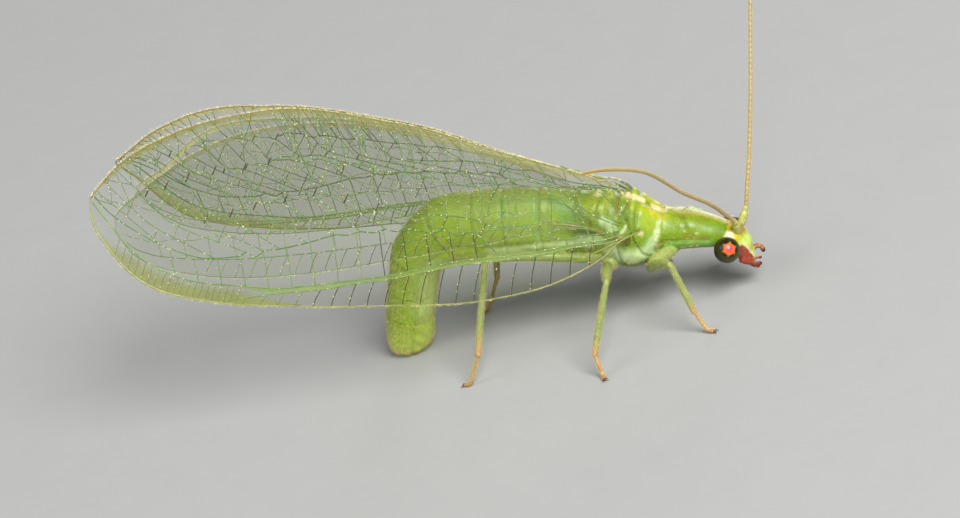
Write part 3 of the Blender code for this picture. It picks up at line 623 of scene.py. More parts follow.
def headRelief(points, turn, height):
    # frons, lip plate, cheeks and the groove over the crown, in mm
    relief = 0.03 * bell(height - 1.18, 0.16) * bell(turn, 55.0)
    relief = relief - 0.028 * bell(height - 0.98, 0.022) * bell(turn, 50.0)
    relief = relief + 0.022 * bell(height - 0.86, 0.08) * bell(turn, 40.0)
    for side in (-1, 1):
        relief = relief - 0.025 * bell(turn - side * 24.0, 7.0) * bell(height - 1.36, 0.16)
        relief = relief + 0.02 * bell(turn - side * 62.0, 24.0) * bell(height - 0.95, 0.10)
        eye = np.linalg.norm(points - np.array((eyeSpot[0], side * eyeSpot[1], eyeSpot[2])), axis=-1)
        relief = relief + 0.03 * bell(eye - 0.34, 0.035)
    return relief - 0.02 * bell(points[..., 1], 0.025) * smoothStep((height - 1.56) / 0.1)


def headTint(points):
    x, y, z = points[..., 0], points[..., 1], points[..., 2]
    side = np.abs(y)
    eye = np.linalg.norm(np.stack([x, side, z], -1) - np.array(eyeSpot), axis=-1)
    crown = smoothStep((z - 1.42) / 0.10)
    front = crown * smoothStep((x - 6.86) / 0.12) * smoothStep((0.30 - side) / 0.1)
    # ring marks a painted shine: a whitish patch on the head above and behind the eye
    ring = smoothStep((0.44 - eye) / 0.05 + 0.5) * smoothStep((z - 1.40) / 0.08)
    ring = ring * smoothStep((x - 6.58) / 0.08)
    # the red cheek in front of and below the eye, with a cream line where it meets the frons
    edge = 0.12 + 0.23 * np.clip((z - 0.855) / 0.45, -0.2, 1.2)
    cheek = smoothStep((side - edge) / 0.03 + 0.5) * smoothStep((1.34 - z) / 0.05)
    cheek = cheek * smoothStep((x - 6.74) / 0.06)
    line = bell(side - edge + 0.015, 0.022) * smoothStep((1.36 - z) / 0.05) * smoothStep((x - 6.9) / 0.06)
    spot = np.linalg.norm(np.stack([x, side, z], -1) - np.array((6.52, 0.30, 1.62)), axis=-1)
    return painted(colours, "head", x.shape, (
        ("vertex", crown), ("vertexFront", front),
        ("frons", smoothStep((x - 6.98) / 0.08) * smoothStep((1.47 - z) / 0.08)),
        ("paintedShineAboveEye", 0.85 * ring * smoothStep((7.02 - x) / 0.10)),
        ("cheek", cheek), ("cream", 0.8 * line), ("cheek", 0.85 * smoothStep((0.09 - spot) / 0.04 + 0.5)),
        ("mouth", smoothStep((0.72 - z) / 0.06)),
    ))


def makeHeadShapes():
    numbers = curveThrough(head["stations"], head["steps"])
    sides = head["columns"]
    turn = 2 * np.pi * np.arange(sides) / sides
    centre = np.column_stack([numbers[:, 0], np.zeros(len(numbers)), numbers[:, 1]])
    points = (centre[:, None] + np.stack([numbers[:, 2:3] * np.cos(turn), numbers[:, 3:4] * np.sin(turn),
                                          np.zeros((len(numbers), sides))], -1))
    out = unit(points - centre[:, None])
    height = np.broadcast_to(numbers[:, 1:2], (len(numbers), sides))
    points = points + out * headRelief(points, wrapped(np.degrees(turn))[None], height)[..., None]
    points = np.vstack([points.reshape(-1, 3), centre[[0, -1]]])
    shapes = [(points, closedFaces(len(numbers), sides, inward=True), headTint(points))]
    tip = colours["palpTip"]
    for mirror, line, thick, thin in head["palps"]:
        # painted light: the palps of the left side are tinted a lighter orange than the same palps on the
        # right
        tone = colours["leftPalpPaintedLight" if mirror > 0 else "mouth"]
        shapes.append(mouthPart(mirrored(line, mirror), (thick, thin), (tone, tip), 4.0))
    for mirror in (-1, 1):
        shapes.append(mouthPart(mirrored(head["jaws"], mirror), head["jawRadius"], (colours["cheek"], tip)))
    shapes.append(mouthPart(head["lip"], (head["lipRadius"],) * 2, (colours["frons"],) * 2))
    return shapes


def mouthPart(path, radii, tones, joints=0.0):
    # a rod from one radius and colour to the other, with a narrow neck at each joint
    line = evenly(curveThrough(path, 8), 0.012)
    share = np.linspace(0.0, 1.0, len(line))
    radius = radii[0] + (radii[1] - radii[0]) * share
    if joints:
        radius = radius * (1.0 - 0.25 * bell((share * joints + 0.5) % 1.0 - 0.5, 0.10))
    tint = blend(*tones, smoothStep((share - 0.74) / 0.24)[:, None])
    return *tube(line, radius, 16), ringTints(tint, 16)


legs = {
    # root on the trunk (place, angle), then trochanter, knee, ankle and toe
    "front": ((16.3, 322.0), (4.86, 0.50, 1.34), (5.69, 1.80, 1.97), (5.84, 1.77, 0.59), (6.02, 1.84, 0.10)),
    "middle": ((12.5, 306.0), (3.94, 0.66, 1.72), (4.23, 2.25, 2.13), (3.48, 2.70, 0.57), (3.53, 2.84, 0.10)),
    "hind": ((12.0, 312.0), (3.46, 0.46, 1.94), (1.33, 1.04, 2.84), (0.54, 1.83, 0.79), (0.10, 1.75, 0.10)),
}
leftLegs = {
    # legs of the left side that stand in another way
    "front": ((16.3, 322.0), (4.86, 0.50, 1.34), (4.60, 1.75, 2.10), (4.38, 1.93, 0.60), (4.50, 2.00, 0.10)),
}
legForm = {
    "step": 0.03, "sides": 20,
    "coxa": (0.22, 0.22, 0.18, 0.13), "femur": (0.11, 0.12, 0.11, 0.075),
    "tibia": (0.068, 0.082, 0.082, 0.070), "tarsus": 0.052, "toes": 5, "footLength": 0.15,
    "claw": (0.10, 0.016, 0.004), "pad": (0.05, 0.028),     # length, then the radii from root to tip
}


def legLine(start, end, bow):
    # a line that bows upwards
    t = np.linspace(0.0, 1.0, 12)[:, None]
    return start + (end - start) * t + up * bow * np.sin(np.pi * t)


def legRods(name, mirror):
    # each part of a leg: its line, radii and colours
    root, *joints = leftLegs.get(name, legs[name]) if mirror > 0 else legs[name]
    start = trunkPoint(*root, -0.12)[0]
    hip, knee, ankle, toe = map(np.array, joints)
    rods = []
    for begin, finish, radii, tone, bow in (
        (start, hip, legForm["coxa"], ("coxa", "coxa"), 0.0),
        (hip, knee, legForm["femur"], ("femur", "tibia"), 0.06),
        (knee, ankle, legForm["tibia"], ("tibia", "tibia"), 0.04),
    ):
        line = evenly(legLine(begin, finish, bow), legForm["step"])
        share = np.linspace(0.0, 1.0, len(line))
        radius = np.interp(share, (0.0, 0.25, 0.7, 1.0), radii)
        tint = blend(colours[tone[0]], colours[tone[1]], share[:, None])
        if finish is ankle:
            tint = blend(tint, colours["tarsus"], smoothStep((share - 0.72) / 0.25)[:, None])
        rods.append((mirrored(line, mirror), radius, tint))
    ahead = unit((toe - ankle) * (1.0, 1.0, 0.0))
    foot = toe + ahead * legForm["footLength"] - up * 0.045
    line = evenly(curveThrough((ankle, ankle + (toe - ankle) * 0.5, toe, foot), 8), legForm["step"] * 0.5)
    share = np.linspace(0.0, 1.0, len(line))
    narrow = 1.0 - 0.30 * bell((share * legForm["toes"] + 0.5) % 1.0 - 0.5, 0.12)
    tint = blend(colours["tarsus"], colours["mouth"], (0.4 * smoothStep((share - 0.75) / 0.2))[:, None])
    rods.append((mirrored(line, mirror), legForm["tarsus"] * narrow, tint))
    return rods


def makeLegShapes():
    # the rods of all legs, and for their hairs each one's line, radii and strip of the map
    shapes, grounds = [], []
    sides = legForm["sides"]
    for number, (name, mirror) in enumerate((name, mirror) for name in legs for mirror in (-1, 1)):
        for line, radius, tint in legRods(name, mirror):
            shapes.append((*tube(line, radius, sides), ringTints(tint, sides)))
            grounds.append((line, radius, 0.62 + 0.06 * number))
    return shapes, grounds


def makeClaws():
    # two curved claws and a pad at the end of each foot
    shapes = []
    clawLength, clawThick, clawThin = legForm["claw"]
    padLength, padRadius = legForm["pad"]
    for name in legs:
        for mirror in (-1, 1):
            line = legRods(name, mirror)[-1][0]
            ahead = unit((line[-1] - line[-8]) * (1.0, 1.0, 0.0))
            across = np.cross(up, ahead)
            for side in (-1, 1):
                start = line[-1] + across * side * 0.02
                middle = start + ahead * 0.06 + across * side * 0.035 + up * 0.012
                end = start + ahead * clawLength + across * side * 0.045 - up * 0.03
                claw = evenly(curveThrough((start, middle, end), 6), 0.008)
                shapes.append(tube(claw, np.linspace(clawThick, clawThin, len(claw)), 8))
            pad = evenly(np.array([line[-1], line[-1] + ahead * padLength - up * 0.01]), 0.01)
            shapes.append(tube(pad, np.full(len(pad), padRadius), 10))
    points, faces = stack(shapes)
    points[:, 2] = np.maximum(points[:, 2], 0.002)
    claws = makePiece("claws", (points, faces), clawMaterial)


def fuse(points, faces, voxel):
    # one closed surface round all the shapes, made at 1 unit to the millimetre
    mesh = bpy.data.meshes.new("raw_skin")
    mesh.from_pydata(points.tolist(), [], faces.tolist())
    raw = linked("raw_skin", mesh)
    remesh = raw.modifiers.new("fuse", "REMESH")
    remesh.mode = "VOXEL"
    remesh.voxel_size = voxel
    relax = raw.modifiers.new("relax", "SMOOTH")
    relax.factor = 0.5
    relax.iterations = 2
    bpy.context.view_layer.update()
    evaluated = raw.evaluated_get(bpy.context.evaluated_depsgraph_get())
    fused = evaluated.to_mesh()
    where = np.empty(len(fused.vertices) * 3)
    fused.vertices.foreach_get("co", where)
    fused.calc_loop_triangles()
    triangles = np.empty(len(fused.loop_triangles) * 3, np.int32)
    fused.loop_triangles.foreach_get("vertices", triangles)
    evaluated.to_mesh_clear()
    bpy.data.objects.remove(raw)
    return where.reshape(-1, 3), triangles.reshape(-1, 3)


def nearestTints(where, points, tints):
    # the mean colour of the three nearest points
    tree = treeOf(points)
    found = np.array([[hit[1] for hit in tree.find_n(point, 3)] for point in where.tolist()])
    return tints[found].mean(axis=1)


def treeOf(points):
    tree = KDTree(len(points))
    for i, point in enumerate(points.tolist()):
        tree.insert(point, i)
    tree.balance()
    return tree


skinVoxel = 0.02
legShapes, legGrounds = makeLegShapes()
bodyPoints, bodyFaces, bodyTints = stack([makeTrunkShape()] + makeHeadShapes() + legShapes)
skinPoints, skinFaces = fuse(bodyPoints, bodyFaces, skinVoxel)
skinTints = nearestTints(skinPoints, bodyPoints, bodyTints)
skinPoints[:, 2] = np.maximum(skinPoints[:, 2], 0.0)
skin = makePiece("skin", (skinPoints, skinFaces), skinMaterial, skinTints)
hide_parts("abdomen_tip", "abdomen_bend", "abdomen_base", "metathorax", "mesothorax", "prothorax", "head")
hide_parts(*[f"leg_{pair}_{side}" for pair in legs for side in ("right", "left")])
makeClaws()
print("skin:", len(skinFaces), "triangles")


# hairs: how many (for each mm on a leg), the shortest and longest in mm, and half their width
hairForm = {
    "trunk": 21000, "abdomenLength": 0.10, "thoraxLength": 0.09, "trunkThick": 0.0032, "abdomenShare": 0.95,
    "thoraxShare": 0.35, "legPerMm": 330, "legLength": (0.05, 0.085), "legThick": 0.0028,
    "head": 420, "headLength": (0.04, 0.08), "headThick": 0.0026,
    "feeler": 2600, "feelerLength": (0.04, 0.07), "feelerThick": 0.0018,
}


def trunkHairs():
    # short hairs all over the abdomen, longer and fewer on the thorax, lying back
    count = hairForm["trunk"]
    place = draw.uniform(0.15, 17.6, count)
    angle = draw.uniform(0.0, 360.0, count)
    dense = np.where(place < trunk["abdomenEnd"], hairForm["abdomenShare"], hairForm["thoraxShare"])
    keep = draw.uniform(0.0, 1.0, count) < dense
    place, angle = place[keep], angle[keep]
    count = len(place)
    roots, normal, tangent = trunkPoint(place, angle, -0.015)
    lean = unit(-tangent + normal * 0.25 + draw.normal(0.0, 0.16, (count, 3)))
    ways = unit(normal * 0.75 - tangent * 0.75 + draw.normal(0.0, 0.14, (count, 3)))
    lengths = np.where(place < trunk["abdomenEnd"], hairForm["abdomenLength"], hairForm["thoraxLength"])
    lengths = lengths * draw.uniform(0.7, 1.3, count)
    flats = np.column_stack([place / 20.0 * 0.58, angle / 360.0 * 0.96 + 0.02])
    keep = roots[:, 2] > 0.10
    return hairs(roots[keep], ways[keep], lean[keep], lengths[keep], hairForm["trunkThick"], flats[keep])


def betweenPoints(values, spot):
    # values at places between the points of a line
    low = spot.astype(int)
    return values[low] + (values[low + 1] - values[low]) * (spot - low)[:, None]


def rodSpots(line, count, first, last):
    # random places on a rod: where along it, how far round it, the way out there and the way along
    spot = draw.uniform(first, last, count) * (len(line) - 1)
    turn = draw.uniform(0.0, 2 * np.pi, count)[:, None]
    tangents = unit(np.gradient(line, axis=0))
    low = spot.astype(int)
    side = carriedNormals(tangents)[low]
    over = np.cross(tangents[low], side)
    return spot, turn, side * np.cos(turn) + over * np.sin(turn), tangents[low]


def legHairs():
    shapes = []
    for line, radius, strip in legGrounds:
        count = int(np.linalg.norm(np.diff(line, axis=0), axis=1).sum() * hairForm["legPerMm"])
        spot, turn, normal, tangent = rodSpots(line, count, 0.04, 0.98)
        roots = betweenPoints(line, spot) + normal * (radius[spot.astype(int)][:, None] - 0.01)
        ways = unit(normal * 0.6 + tangent * 0.8 + draw.normal(0.0, 0.10, (count, 3)))
        lean = unit(tangent + normal * 0.2)
        lengths = draw.uniform(*hairForm["legLength"], count)
        flats = np.column_stack([strip + turn[:, 0] / (2 * np.pi) * 0.05, 0.02 + 0.94 * spot / len(line)])
        keep = roots[:, 2] > 0.03
        lengths, flats = lengths[keep], flats[keep]
        shapes.append(hairs(roots[keep], ways[keep], lean[keep], lengths, hairForm["legThick"], flats))
    return stack(shapes)


def headHairs():
    # a few fine hairs on crown, frons and palps
    count = hairForm["head"]
    turn = draw.uniform(-80.0, 80.0, count)
    height = draw.uniform(0.62, 1.88, count)
    numbers = curveThrough(head["stations"], head["steps"])
    order = np.argsort(numbers[:, 1])
    middle, depth, width = (np.interp(height, numbers[order, 1], numbers[order, k]) for k in (0, 2, 3))
    normal = np.column_stack([np.cos(np.radians(turn)), np.sin(np.radians(turn)), np.full(count, 0.1)])
    roots = np.column_stack([middle + depth * normal[:, 0], width * normal[:, 1], height])
    normal = unit(normal)
    lean = np.broadcast_to(-up, (count, 3)) + draw.normal(0.0, 0.2, (count, 3))
    flats = np.column_stack([0.62 + turn / 1000.0 + 0.1, height / 2.0])
    lengths = draw.uniform(*hairForm["headLength"], count)
    ways = unit(normal + lean * 0.4)
    return hairs(roots - normal * 0.01, ways, unit(lean), lengths, hairForm["headThick"], flats)


bodyHair = makePiece("body_hairs", stack([trunkHairs(), headHairs()]), hairMaterial)
legHair = makePiece("leg_hairs", legHairs(), hairMaterial)
print("hairs:", len(bodyHair.data.polygons) + len(legHair.data.polygons), "triangles")


eyes = {
    "radius": 0.31, "columns": 160, "rings": 110,
    "look": (0.42, -0.78, 0.45),              # the way out of the right eye in which its bright spot shows
    "body": rgb(30, 20, 8), "paintedSheen": rgb(112, 96, 40), "green": rgb(70, 84, 30), "ring": rgb(226, 92, 46),
    "ringInner": rgb(206, 44, 50), "heart": rgb(132, 84, 104), "fleck": rgb(78, 146, 84),
    "gold": rgb(150, 128, 46),
}


def eyeTint(ways, mirror):
    # a dark ball with an orange six-petalled spot, a violet middle and coloured flecks round it, and a
    # painted sheen on one side
    axis = unit(np.array(eyes["look"]) * (1.0, -mirror, 1.0))
    right = unit(np.cross(up, axis))
    over = np.cross(axis, right)
    x, y, toward = ways @ right, ways @ over, ways @ axis
    reach = np.degrees(np.arccos(np.clip(toward, -1.0, 1.0)))
    turn = np.arctan2(y, x)
    petals = 1.0 + 0.05 * np.cos(6 * turn)
    spots = np.maximum(np.cos(6 * turn + 0.5), 0.0) ** 2
    spokes = np.maximum(np.cos(6 * turn + math.pi), 0.0) ** 3
    greenSide = np.cos(turn - 1.0) > -0.3
    return painted(eyes, "body", reach.shape, (
        ("green", 0.6 * bell(reach - 50.0, 12.0) * (0.5 - 0.5 * y)),
        # painted sheen: a lighter olive band on one side of the ball
        ("paintedSheen", 0.6 * bell(reach - 66.0, 10.0) * (0.5 + 0.5 * x)),
        ("fleck", 0.7 * bell(reach - 32.0, 5.0) * spots * greenSide),
        ("gold", 0.6 * bell(reach - 32.0, 5.0) * spots * ~greenSide),
        ("ring", smoothStep((27.0 * petals - reach) / 9.0 + 0.5)),
        ("ringInner", 0.8 * bell(reach - 12.0, 7.0) * spokes),
        ("ringInner", 0.8 * smoothStep((12.0 - reach) / 5.0 + 0.5)),
        ("heart", 0.9 * smoothStep((7.5 - reach) / 4.0 + 0.5)),
    ))


def makeEyes():
    rings, columns = eyes["rings"], eyes["columns"]
    rise = np.linspace(-np.pi / 2, np.pi / 2, rings + 2)[1:-1]
    turn = 2 * np.pi * np.arange(columns) / columns
    ways = np.stack([np.cos(rise)[:, None] * np.cos(turn), np.cos(rise)[:, None] * np.sin(turn),
                     np.repeat(np.sin(rise)[:, None], columns, axis=1)], -1).reshape(-1, 3)
    ways = np.vstack([ways, -up, up])
    for side, mirror in (("right", -1), ("left", 1)):
        points = mirrored(eyeSpot, mirror) + ways * eyes["radius"]
        ball = points, closedFaces(rings, columns)
        eye = makePiece(f"eye_ball_{side}", ball, eyeMaterial, eyeTint(ways, mirror))
        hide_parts(f"eye_{side}")


makeEyes()
print("eyes made")


feelers = {
    "left": (
        (7.10, 0.22, 1.53), (7.33, 0.33, 1.92), (7.50, 0.43, 2.38), (7.76, 0.72, 3.12), (8.14, 1.20, 4.35),
        (8.62, 1.98, 6.10), (9.10, 2.75, 7.80), (9.68, 3.46, 9.78),
    ),
    "right": (
        (7.05, -0.20, 1.57), (7.14, -0.38, 1.92), (7.08, -0.73, 2.36), (7.04, -1.65, 3.21),
        (6.87, -3.00, 4.36), (6.71, -4.70, 5.90), (6.36, -6.30, 6.99), (6.08, -7.48, 7.64),
    ),
    # the first two joints are longer and thicker than the many rings after them
    "scapeLength": 0.34, "scape": 0.098, "pedicelLength": 0.14, "pedicel": 0.068,
    "thick": 0.054, "thin": 0.036, "ringLength": 0.125, "groove": 0.20, "step": 0.014, "sides": 14,
}


def jointRadius(thick, away, length, reach, least):
    # radii of a joint that rounds off at both ends
    return thick * np.sqrt(np.maximum(1.0 - ((away / length - 0.5) / reach) ** 4, least))


def makeFeelers():
    for side in ("left", "right"):
        line = evenly(curveThrough(feelers[side], 12), feelers["step"])
        away = lengthsAlong(line)
        share = away / away[-1]
        scapeEnd = feelers["scapeLength"]
        pedicelEnd = scapeEnd + feelers["pedicelLength"]
        ring = ((away - pedicelEnd) / feelers["ringLength"]) % 1.0
        ring = np.minimum(ring, 1.0 - ring)
        radius = feelers["thick"] + (feelers["thin"] - feelers["thick"]) * share
        radius = radius * (1.0 - feelers["groove"] * bell(ring, 0.13))
        scape = jointRadius(feelers["scape"], away, scapeEnd, 0.62, 0.15)
        pedicel = jointRadius(feelers["pedicel"], away - scapeEnd, feelers["pedicelLength"], 0.60, 0.2)
        radius = np.where(away < scapeEnd, scape, np.where(away < pedicelEnd, pedicel, radius))
        radius[-3:] *= (0.9, 0.75, 0.5)
        tone = colours["feeler"] + 0.25 * (colours["feeler"] - 0.5) * smoothStep((share - 0.7) / 0.3)[:, None]
        tint = np.where((away < pedicelEnd)[:, None], colours["scape"], tone)
        tint = tint * (1.0 - 0.2 * bell(ring, 0.16) * (away > pedicelEnd))[:, None]
        rod = tube(line, radius, feelers["sides"])
        feeler = makePiece(f"feeler_{side}", rod, feelerMaterial, ringTints(tint, feelers["sides"]))
        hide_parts(f"antenna_{side}")
        hair = makePiece(f"feeler_hairs_{side}", feelerHairs(line, radius), hairMaterial)


def feelerHairs(line, radius):
    # short hairs standing off every ring
    count = hairForm["feeler"]
    spot, turn, normal, tangent = rodSpots(line, count, 0.03, 0.985)
    low = spot.astype(int)
    roots = line[low] + normal * (radius[low][:, None] - 0.006)
    ways = unit(normal * 0.7 + tangent * 0.9)
    flats = np.column_stack([0.05 + 0.9 * turn[:, 0] / (2 * np.pi), 0.02 + 0.95 * spot / len(line)])
    lengths = draw.uniform(*hairForm["feelerLength"], count)
    return hairs(roots, ways, tangent, lengths, hairForm["feelerThick"], flats)


makeFeelers()
print("feelers made")


wingRoof = {
    # slope of the wings' length and of the roof they make, and the point they hang from
    "pitch": 14.0, "roof": 70.0, "point": (5.00, 1.31, 2.88),
    "bulge": (0.40, 3.6, 2.6), "bulgeTop": (2.2, 2.6), "closer": (0.88, 0.5, 1.5),
    "rootLength": 0.55, "rootGap": 0.20,
    # how far a wing's hind edge runs in over the back by distance from the root, and where the run begins
    "tuck": (
        (0.0, 0.45), (0.43, 0.72), (0.84, 0.84), (1.3, 0.855), (2.22, 0.79), (3.14, 0.673), (4.06, 0.56),
        (4.98, 0.474), (5.9, 0.405), (6.85, 0.336), (7.8, 0.283), (8.3, 0.255), (8.75, 0.22), (9.2, 0.15),
        (9.66, 0.11), (10.1, 0.09), (10.6, 0.09), (11.1, 0.125), (11.6, 0.16), (12.1, 0.24), (12.5, 0.34),
        (12.92, 0.42),
    ),
    "tuckFrom": -0.3, "tuckPower": 0.35,
    # how far the hind edge sinks, at what distance from the root, and over what length
    "backDrop": (0.10, 3.5, 1.1),
    # the left wings' tips reach less far, and both their edges lie lower: amount, place and length of each
    "leftBackDrop": (0.19, 1.6, 3.6), "leftRootDrop": (0.30, 6.6, 2.2), "leftDrop": (0.13, 7.8, 2.8),
    "leftTipRise": (0.35, 11.0, 1.9), "leftShort": (0.032, 9.0, 3.9),
}
foreWing = {
    "name": "forewing", "inset": 0.0, "root": (13.75, 48.0),
    "front": (
        (0.0, -0.20), (0.40, -0.40), (0.64, -0.64), (0.85, -0.78), (1.35, -1.04), (1.8, -1.23), (3.2, -1.56),
        (5.8, -1.74), (8.2, -1.75), (9.6, -1.69), (10.6, -1.53), (11.4, -1.29), (12.0, -0.87), (12.5, -0.25),
        (12.8, 0.24), (12.92, 0.55),
    ),
    "back": (
        (0.0, 0.20), (0.43, 0.857), (0.84, 1.0), (1.3, 1.17), (2.22, 1.486), (3.14, 1.826), (4.06, 2.14),
        (4.98, 2.38), (5.91, 2.565), (6.85, 2.76), (7.79, 2.878), (8.26, 2.885), (8.74, 2.84), (9.66, 2.70),
        (10.6, 2.44), (11.1, 2.23), (11.6, 1.985), (12.1, 1.66), (12.5, 1.28), (12.92, 0.80),
    ),
    "subcosta": (
        (0.05, -0.22), (0.65, -0.36), (0.9, -0.38), (1.27, -0.41), (1.68, -0.48), (2.19, -0.58),
        (3.12, -0.68), (4.0, -0.76), (4.88, -0.94), (5.8, -1.13), (6.42, -1.20), (7.27, -1.35),
        (8.38, -1.45), (9.75, -1.62),
    ),
    "radius": (
        (0.05, -0.14), (0.65, -0.27), (1.27, -0.33), (2.19, -0.48), (3.12, -0.58), (4.0, -0.66),
        (4.88, -0.84), (5.8, -1.03), (7.27, -1.22), (8.38, -1.33), (9.2, -1.27), (10.3, -1.16),
        (11.0, -0.96), (11.6, -0.62), (12.1, -0.15), (12.5, 0.35), (12.84, 0.72),
    ),
    "sector": (
        (2.85, -0.55), (3.14, -0.49), (3.49, -0.12), (3.78, 0.0), (4.02, -0.08), (4.38, 0.05), (4.67, -0.01),
        (5.19, 0.08), (5.56, 0.02), (5.77, 0.07), (6.07, -0.01), (6.4, 0.01), (6.7, -0.07), (7.03, -0.07),
        (7.68, -0.25), (8.34, -0.39), (8.71, -0.44), (8.94, -0.57), (9.15, -0.46), (9.32, -0.55),
        (9.92, -0.60), (10.4, -0.55), (11.2, -0.25), (11.9, 0.15), (12.4, 0.5), (12.8, 0.86),
    ),
    # each branch of the sector: where it leaves it, a place of its own in between, and where it ends
    "branches": (
        ((4.38, 0.05), (6.13, 1.48), (6.5, 2.6)), ((5.19, 0.08), (6.9, 1.56), (7.3, 2.65)),
        ((5.77, 0.07), (7.69, 1.63), (8.2, 2.66)), ((6.4, 0.01), None, (9.2, 2.68)),
        ((7.03, -0.07), None, (10.3, 2.56)), ((7.68, -0.25), None, (11.0, 2.3)),
        ((8.34, -0.39), None, (11.5, 2.02)), ((8.71, -0.44), None, (11.9, 1.77)),
        ((9.15, -0.46), (10.85, 0.22), (12.25, 1.53)), ((9.92, -0.60), (11.3, 0.15), (12.55, 1.2)),
        ((11.2, -0.25), (12.0, 0.45), (12.75, 1.0)),
    ),
    # the two rows of dark steps between neighbouring branches, and other steps, dark and light
    "innerSteps": (
        (5.26, 0.48), (5.98, 0.59), (6.73, 0.78), (7.46, 0.95), (8.17, 0.78), (8.9, 0.64), (9.47, 0.46),
        (10.07, 0.35),
    ),
    "outerSteps": ((8.54, 1.65), (9.13, 1.53), (9.84, 1.49), (10.48, 1.34), (11.0, 1.15), (11.47, 0.98)),
    "darkSteps": (
        (7.63, 1.36), (6.84, 1.36), (6.55, 0.97), (5.87, 1.2), (4.98, 1.0), (4.38, 0.21), (3.48, 0.0),
        (3.3, 0.75),
    ),
    "lightSteps": (
        (5.5, 0.24), (6.1, 0.30), (6.75, 0.36), (7.3, 0.25), (7.95, 0.10), (8.6, -0.05), (9.2, -0.1),
        (9.8, -0.2), (10.6, -0.2), (7.3, 1.2), (8.1, 1.2), (8.8, 1.1), (9.5, 1.0), (10.1, 0.85),
        (10.7, 0.7), (11.2, 0.55), (10.7, 0.22), (11.3, 0.0), (11.9, 0.6),
    ),
    "stepWay": (-0.42, 0.91), "stepHalf": 0.12,
    "pseudomedia": (
        (0.35, -0.12), (1.0, -0.16), (1.54, -0.22), (1.91, -0.17), (2.28, -0.01), (2.65, 0.12), (3.15, 0.10),
        (3.56, 0.25), (4.07, 0.36), (4.5, 0.40), (4.9, 0.42), (5.26, 0.48), (5.6, 0.55),
    ),
    "pseudocubitus": (
        (0.35, 0.0), (0.8, 0.2), (1.3, 0.5), (1.72, 0.86), (2.01, 0.95), (2.51, 1.17), (2.84, 1.13),
        (3.6, 1.1), (4.01, 1.12), (4.72, 1.26), (5.04, 1.22), (5.32, 1.36), (5.7, 1.38), (6.13, 1.48),
        (6.51, 1.58), (6.9, 1.56), (7.35, 1.71), (7.69, 1.63), (7.94, 1.76), (8.25, 1.77), (8.54, 1.65),
    ),
    "others": (
        ((2.65, 0.12), (2.69, 0.31), (2.98, 0.44), (3.36, 0.39), (3.56, 0.25)),
        ((0.3, 0.05), (0.8, 0.25), (1.24, 0.29), (1.41, 0.60), (1.28, 0.9)),
        ((0.2, 0.1), (0.5, 0.45), (0.9, 0.8), (1.3, 1.05), (1.74, 1.38)),
        ((0.15, 0.15), (0.4, 0.55), (0.6, 0.90)), ((1.0, -0.16), (1.24, 0.29)),
        ((1.91, -0.17), (1.9, 0.5), (2.01, 0.95)), ((2.69, 0.31), (2.75, 0.8), (2.84, 1.13)),
        ((3.36, 0.39), (3.27, 0.88), (3.1, 1.1)), ((3.56, 0.25), (3.5, 0.7), (3.6, 1.1)),
        ((4.3, 0.38), (4.5, 0.8), (4.72, 1.26)), ((4.9, 0.42), (5.1, 0.85), (5.32, 1.36)),
        ((0.9, 0.8), (1.28, 0.9), (1.6, 0.8)), ((2.98, 0.44), (3.49, -0.12)), ((2.28, -0.01), (2.2, -0.48)),
        ((1.54, -0.22), (1.5, -0.36)), ((4.07, 0.36), (4.02, -0.08)),
    ),
    # where the veins of the hind margin leave the false cubitus
    "rim": (2.01, 2.51, 2.84, 3.3, 3.8, 4.2, 4.72, 5.04, 5.32, 5.7, 6.3, 6.7, 7.1, 7.5, 7.94),
    # rows of cross veins: where the row starts, where it ends and how far they stand apart
    "costal": (0.95, 9.7, 0.43), "tipSteps": (9.3, 12.3, 0.15), "sectorSteps": (3.6, 11.0, 0.56),
    "darkUpTo": 6.3,
    "stigma": (7.6, 9.9, 12.9), "between": (0.95, 9.6), "stemRoot": (13.1, 176.0),
}
hindWing = {
    "name": "hindwing", "inset": 0.64, "root": (11.75, 48.0),
    "front": (
        (1.15, -0.10), (1.57, -0.06), (2.64, -0.20), (3.54, -0.38), (4.03, -0.44), (5.02, -0.63),
        (5.75, -0.76), (6.7, -0.93), (8.0, -1.10), (10.0, -1.15), (11.0, -1.00), (11.6, -0.82),
        (12.1, -0.47), (12.40, 0.0),
    ),
    "back": (
        (1.15, 0.12), (1.45, 0.70), (1.8, 1.12), (2.4, 1.42), (3.14, 1.70), (4.5, 2.10), (5.45, 2.31),
        (6.15, 2.43), (7.1, 2.52), (7.8, 2.52), (8.55, 2.44), (9.0, 2.36), (9.6, 2.19), (10.2, 1.93),
        (10.75, 1.62), (11.13, 1.36), (11.46, 1.12), (11.75, 0.90), (12.1, 0.63), (12.40, 0.33),
    ),
    # the four long veins: share of the way from front to back, start, end and wobble
    "rows": (
        (0.13, 1.2, 12.2, 0.0), (0.30, 2.2, 12.2, 0.012), (0.50, 1.2, 10.6, 0.015),
        (0.72, 1.2, 9.6, 0.015),
    ),
    # the rows of steps between the branches: share, start and end, and how far the steps stand apart
    "steps": ((0.40, 3.0, 11.0), (0.61, 2.6, 10.4)), "stepGap": 0.72,
    "branchPlaces": (3.4, 4.3, 5.1, 5.9, 6.7, 7.5, 8.3, 9.1, 9.9), "branchSlant": (1.0, 0.75, 0.55),
    "stepWay": (-0.35, 0.93), "costal": (1.8, 10.4, 0.36), "rimSteps": (2.0, 9.3, 0.52),
    "sectorSteps": (2.9, 11.4, 0.6), "stemRoot": (12.1, 168.0),
}
